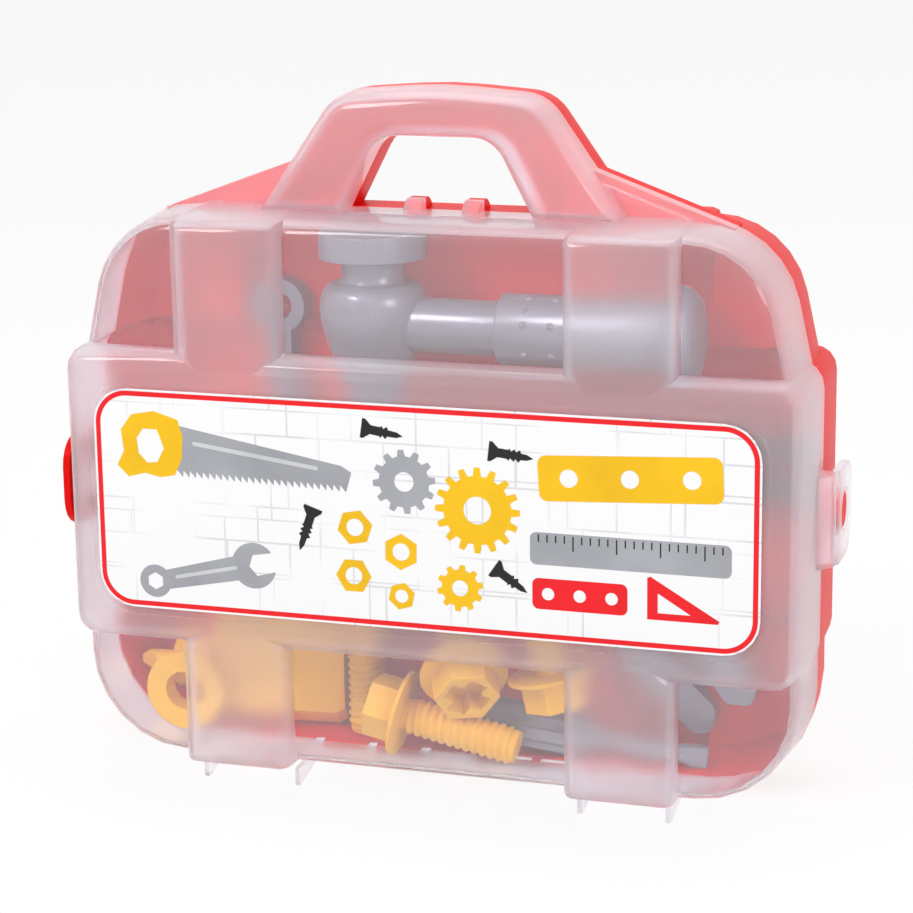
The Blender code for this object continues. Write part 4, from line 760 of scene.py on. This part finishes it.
def hex_nut(x, y, radius, start=0.0):
    return [ring(radius, 6, start, (x, y)), ring(radius * 0.48, 28, centre=(x, y))]


def spanner(x, y, angle, length, wide):
    """Open-ended spanner with a ring at its other end."""
    head = [
        (math.cos(math.radians(bend)) * wide, math.sin(math.radians(bend)) * wide)
        for bend in range(28, 151, 8)
    ]
    lower = [(u, -v) for u, v in reversed(head)]
    jaw = [(wide * 0.88, -wide * 0.42), (wide * 0.05, -wide * 0.46), (-wide * 0.22, 0.0),
           (wide * 0.05, wide * 0.46), (wide * 0.88, wide * 0.42)]
    tail = length - wide
    reach = wide * 0.72
    eye = [
        (-tail + math.cos(math.radians(bend)) * reach, math.sin(math.radians(bend)) * reach)
        for bend in range(34, 327, 12)
    ]
    outline = head + eye + lower + jaw
    hole = ring(wide * 0.38, 6, 0.3, (-tail, 0.0))
    return [turned(outline, angle, x, y), turned(hole, angle, x, y)]


def hand_saw(x, y, angle):
    """Blade with teeth along its lower edge, without its grip."""
    teeth = []
    for tooth in range(26):
        teeth.append((8.0 + tooth * 3.2, -9.0 + tooth * 0.18))
        teeth.append((11.0 + tooth * 3.2, -12.0 + tooth * 0.18))
    outline = teeth + [(93.0, 2.0), (88.0, 4.5), (8.0, 12.0)]
    return [turned(outline, angle, x, y)]


def saw_grip(x, y, angle):
    outline = [
        (9.0, 14.5), (-3.0, 17.0), (-14.0, 14.0), (-19.0, 6.0), (-17.0, -4.0), (-20.0, -11.0),
        (-14.0, -16.0), (-6.0, -13.0), (2.0, -14.0), (9.0, -12.0), (12.0, -4.0), (12.0, 7.0),
    ]
    hole = [
        (-1.0, 8.5), (-8.0, 8.0), (-11.0, 3.0), (-9.5, -4.0),
        (-5.0, -8.0), (0.0, -7.0), (3.0, 0.0),
    ]
    return [turned(outline, angle, x, y), turned(hole, angle, x, y)]


def wood_screw(x, y, angle, length):
    """Countersunk screw seen from its side."""
    side = [(0.0, 4.6), (1.4, 4.6), (4.4, 2.1), (9.0, 2.1)]
    step = 0.0
    while 9.0 + step + 2.4 < length - 4.0:
        side += [(9.6 + step, 2.9), (10.4 + step, 1.5)]
        step += 2.4
    side += [(length - 3.0, 1.3), (length, 0.0)]
    outline = side + [(u, -v) for u, v in reversed(side[:-1])]
    return [turned(outline, angle, x, y)]


def round_bar(x, y, angle, length, wide, radius=3.0, holes=0):
    """Flat bar with rounded corners and a row of holes."""
    outline = []
    for centre, start in (((length / 2, wide / 2), 0), ((-length / 2, wide / 2), 90),
                          ((-length / 2, -wide / 2), 180), ((length / 2, -wide / 2), 270)):
        cx = centre[0] - math.copysign(radius, centre[0])
        cy = centre[1] - math.copysign(radius, centre[1])
        for bend in range(0, 91, 15):
            t = math.radians(start + bend)
            outline.append((cx + radius * math.cos(t), cy + radius * math.sin(t)))
    loops = [turned(outline, angle, x, y)]
    for index in range(holes):
        along = -length / 2 + length * (index + 0.5) / holes
        loops.append(turned(ring(wide * 0.2, 20, centre=(along, 0.0)), angle, x, y))
    return loops


def rule_marks(x, y, angle, length, wide):
    marks = []
    count = int(length // 4)
    for index in range(1, count):
        along = -length / 2 + length * index / count
        tall = wide * (0.52 if index % 5 == 0 else 0.3)
        mark = [(along - 0.3, wide / 2 - tall), (along + 0.3, wide / 2 - tall),
                (along + 0.3, wide / 2 - 1.0), (along - 0.3, wide / 2 - 1.0)]
        marks.append(turned(mark, angle, x, y))
    return marks


def set_square(x, y, size):
    outline = [(0.0, 0.0), (size, 0.0), (size + 0.8, 1.4), (1.4, size * 0.62), (0.0, size * 0.6)]
    hole = [(size * 0.15, size * 0.10), (size * 0.62, size * 0.10), (size * 0.15, size * 0.385)]
    return [turned(outline, 0.0, x, y), turned(hole, 0.0, x, y)]


def label_design():
    """The label's generic motifs in millimetres from its middle, with their ink and layer."""
    ruler = (99.0, -9.5, 0.0, 92.0, 15.0)
    grey = [
        hand_saw(-124.0, 25.0, -0.08), spanner(-80.0, -28.0, 0.22, 62.0, 11.0),
        gear(-6.0, 17.0, 15.0, 12, 4.6, 0.1), round_bar(*ruler),
    ]
    pale = [
        round_bar(-78.0, 24.5, -0.13, 62.0, 2.0, 0.9),
        round_bar(-104.0, -33.0, 0.22, 32.0, 1.8, 0.8),
    ]
    yellow = [
        gear(28.5, 6.0, 20.0, 16, 6.5), hex_nut(-30.0, -6.0, 8.6, 0.2),
        hex_nut(-8.0, -16.0, 8.6, 0.5), hex_nut(-31.0, -29.0, 8.6, 0.0),
        hex_nut(-8.0, -37.0, 6.6, 0.3), saw_grip(-126.0, 25.5, -0.08),
        round_bar(99.0, 25.0, 0.05, 84.0, 21.0, 4.0, 3), gear(20.0, -31.0, 11.0, 10, 3.8, 0.2),
    ]
    red = [round_bar(76.0, -30.5, 0.0, 44.0, 14.5, 3.0, 3), set_square(107.0, -38.5, 32.0)]
    black = [
        wood_screw(34.0, 34.0, -0.12, 21.0), wood_screw(-50.0, 2.0, -1.9, 22.0),
        wood_screw(-26.0, 41.0, -0.15, 20.0), wood_screw(36.0, -20.0, -0.6, 19.0),
    ]
    black += [[mark] for mark in rule_marks(*ruler)]
    return {
        "grey": (grey, PRINT_GREY, 1),
        "pale": (pale, PRINT_PALE, 3),
        "yellow": (yellow, PRINT_YELLOW, 2),
        "red": (red, PRINT_RED, 1),
        "black": (black, PRINT_BLACK, 3),
    }


def print_ink(name, colour):
    """Printed colour with soft lighter and darker patches."""
    nodes = Nodes(f"print {name}")
    where = place(nodes)
    shade = noise(nodes, PRINT_SHADE_SCALE, 2.0, where)
    skin = noise(nodes, PRINT_SKIN_SCALE, 2.0, where)
    darker, lighter = ([min(1.0, part * share) for part in colour] for share in PRINT_SHADES)
    shader = nodes.add("ShaderNodeBsdfPrincipled")
    nodes.set(
        shader,
        Base_Color=blend_colour(nodes, shade, darker, lighter),
        Roughness=spread(nodes, skin, *PRINT_ROUGHNESS),
        Normal=bump(nodes, skin, PRINT_SKIN_STRENGTH, SKIN_DEPTH),
    )
    shader.inputs["Specular IOR Level"].default_value = PLASTIC_SHINE
    nodes.link(shader.outputs["BSDF"], nodes.output.inputs["Surface"])
    return nodes.material


def add_label_design():
    low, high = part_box("label")
    middle = Vector(((low[0] + high[0]) / 2, low[1], (low[2] + high[2]) / 2))
    upright = Matrix.Rotation(math.pi / 2, 4, "X")
    for name, (motifs, colour, layer) in label_design().items():
        shape = bmesh.new()
        for motif in motifs:
            loops = [[(u * MILLIMETRE, v * MILLIMETRE) for u, v in loop] for loop in motif]
            mesh = plate(loops, PRINT_LAYER, 0.0)
            shape.from_mesh(mesh)
            bpy.data.meshes.remove(mesh)
        offset = Vector((0.0, -PRINT_LAYER * layer, 0.0))
        shape.transform(Matrix.Translation(middle + offset) @ upright)
        mesh = bpy.data.meshes.new(f"label_print_{name}")
        shape.to_mesh(mesh)
        shape.free()
        new_piece(f"label_print_{name}", mesh, LID_BODY, print_ink(name, colour))


def add_smoothing_group():
    """Geometry nodes that weld a faceted node and shade it smooth except at its corners."""
    group = bpy.data.node_groups.new("smooth_by_angle", "GeometryNodeTree")
    group.interface.new_socket("Geometry", in_out="INPUT", socket_type="NodeSocketGeometry")
    group.interface.new_socket("Geometry", in_out="OUTPUT", socket_type="NodeSocketGeometry")
    start = group.nodes.new("NodeGroupInput")
    end = group.nodes.new("NodeGroupOutput")
    merge = group.nodes.new("GeometryNodeMergeByDistance")
    merge.inputs["Distance"].default_value = WELD_DISTANCE
    faces = group.nodes.new("GeometryNodeSetShadeSmooth")
    faces.domain = "FACE"
    edges = group.nodes.new("GeometryNodeSetShadeSmooth")
    edges.domain = "EDGE"
    edges.inputs["Shade Smooth"].default_value = False
    angle = group.nodes.new("GeometryNodeInputMeshEdgeAngle")
    sharp = group.nodes.new("FunctionNodeCompare")
    sharp.operation = "GREATER_THAN"
    sharp.inputs["B"].default_value = SMOOTH_ANGLE
    links = group.links
    links.new(start.outputs["Geometry"], merge.inputs["Geometry"])
    links.new(merge.outputs["Geometry"], faces.inputs["Geometry"])
    links.new(faces.outputs["Geometry"], edges.inputs["Geometry"])
    links.new(angle.outputs["Unsigned Angle"], sharp.inputs["A"])
    links.new(sharp.outputs["Result"], edges.inputs["Selection"])
    links.new(edges.outputs["Geometry"], end.inputs["Geometry"])


def dress_nodes():
    """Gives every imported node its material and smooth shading, then makes the finer pieces."""
    red = plastic("red plastic", RED, DARK_RED, RED_ROUGHNESS, shine=RED_SHINE)
    grey = plastic(
        "silver-grey plastic", GREY, DARK_GREY, GREY_ROUGHNESS, metallic=SILVER_METALLIC
    )
    orange = plastic("orange plastic", ORANGE, DARK_ORANGE, YELLOW_ROUGHNESS)
    yellow = plastic("yellow plastic", YELLOW, DARK_YELLOW, YELLOW_ROUGHNESS)
    black = plastic("black plastic", BLACK, DARK_BLACK, BLACK_ROUGHNESS)
    looks = {
        "clear_plastic": frosted(),
        "red_plastic": red,
        "grey_plastic": grey,
        "orange_plastic": orange,
        "yellow_plastic": yellow,
        "black_plastic": black,
        "label_print": label_print(),
    }
    slots = {entry["node"]: entry["material_slot"] for entry in frame["record"]["subparts"]}
    add_smoothing_group()
    for name, item in frame["nodes"].items():
        item.data.materials.clear()
        item.data.materials.append(looks[slots[name]])
        shade_smooth(item)
    for index in range(1, 5):
        make_bolt(f"bolt_{index}", yellow)
    make_hammer_head(grey)
    make_hammer_handle(grey)


def seen_rays(nodes):
    """1 for rays from the camera, off gloss or through clear plastic, otherwise 0."""
    rays = nodes.add("ShaderNodeLightPath").outputs
    bounced = maths(nodes, "MAXIMUM", rays["Is Glossy Ray"], rays["Is Transmission Ray"])
    return maths(nodes, "MAXIMUM", rays["Is Camera Ray"], bounced)


def add_floor():
    shape = bmesh.new()
    bmesh.ops.create_grid(shape, x_segments=1, y_segments=1, size=FLOOR_SIZE / 2)
    mesh = bpy.data.meshes.new("floor")
    shape.to_mesh(mesh)
    shape.free()
    floor = bpy.data.objects.new("floor", mesh)
    bpy.context.scene.collection.objects.link(floor)
    nodes = Nodes("floor")
    shader = nodes.add("ShaderNodeBsdfDiffuse")
    shader.inputs["Color"].default_value = FLOOR_GREY
    through = nodes.add("ShaderNodeBsdfTransparent")
    mix = nodes.add("ShaderNodeMixShader")
    nodes.link(maths(nodes, "MULTIPLY", seen_rays(nodes), FLOOR_CLARITY), mix.inputs["Fac"])
    nodes.link(shader.outputs["BSDF"], mix.inputs[1])
    nodes.link(through.outputs["BSDF"], mix.inputs[2])
    nodes.link(mix.outputs["Shader"], nodes.output.inputs["Surface"])
    mesh.materials.append(nodes.material)


def add_world():
    world = bpy.data.worlds.new("studio")
    bpy.context.scene.world = world
    world.use_nodes = True
    tree = world.node_tree
    tree.nodes.clear()
    nodes = Tree(tree)
    output = nodes.add("ShaderNodeOutputWorld")
    lit = nodes.add("ShaderNodeBackground")
    lit.inputs["Color"].default_value = WHITE
    lit.inputs["Strength"].default_value = WORLD_STRENGTH
    seen = nodes.add("ShaderNodeBackground")
    seen.inputs["Color"].default_value = WHITE
    mix = nodes.add("ShaderNodeMixShader")
    nodes.link(seen_rays(nodes), mix.inputs["Fac"])
    nodes.link(lit.outputs["Background"], mix.inputs[1])
    nodes.link(seen.outputs["Background"], mix.inputs[2])
    nodes.link(mix.outputs["Shader"], output.inputs["Surface"])


def add_lamp(name, place_at, size, power):
    data = bpy.data.lights.new(name, "AREA")
    data.shape = "RECTANGLE"
    data.size, data.size_y = size
    data.energy = power
    lamp = bpy.data.objects.new(name, data)
    lamp.location = place_at
    lamp.rotation_mode = "QUATERNION"
    lamp.rotation_quaternion = (Vector(LAMP_TARGET) - Vector(place_at)).to_track_quat("-Z", "Y")
    bpy.context.scene.collection.objects.link(lamp)


bpy.context.scene.view_settings.view_transform = "Standard"
add_camera()
dress_nodes()
add_label_design()
add_floor()
add_world()
for lamp_name, lamp_place, lamp_size, lamp_power in LAMPS:
    add_lamp(lamp_name, lamp_place, lamp_size, lamp_power * LAMP_SHARE)
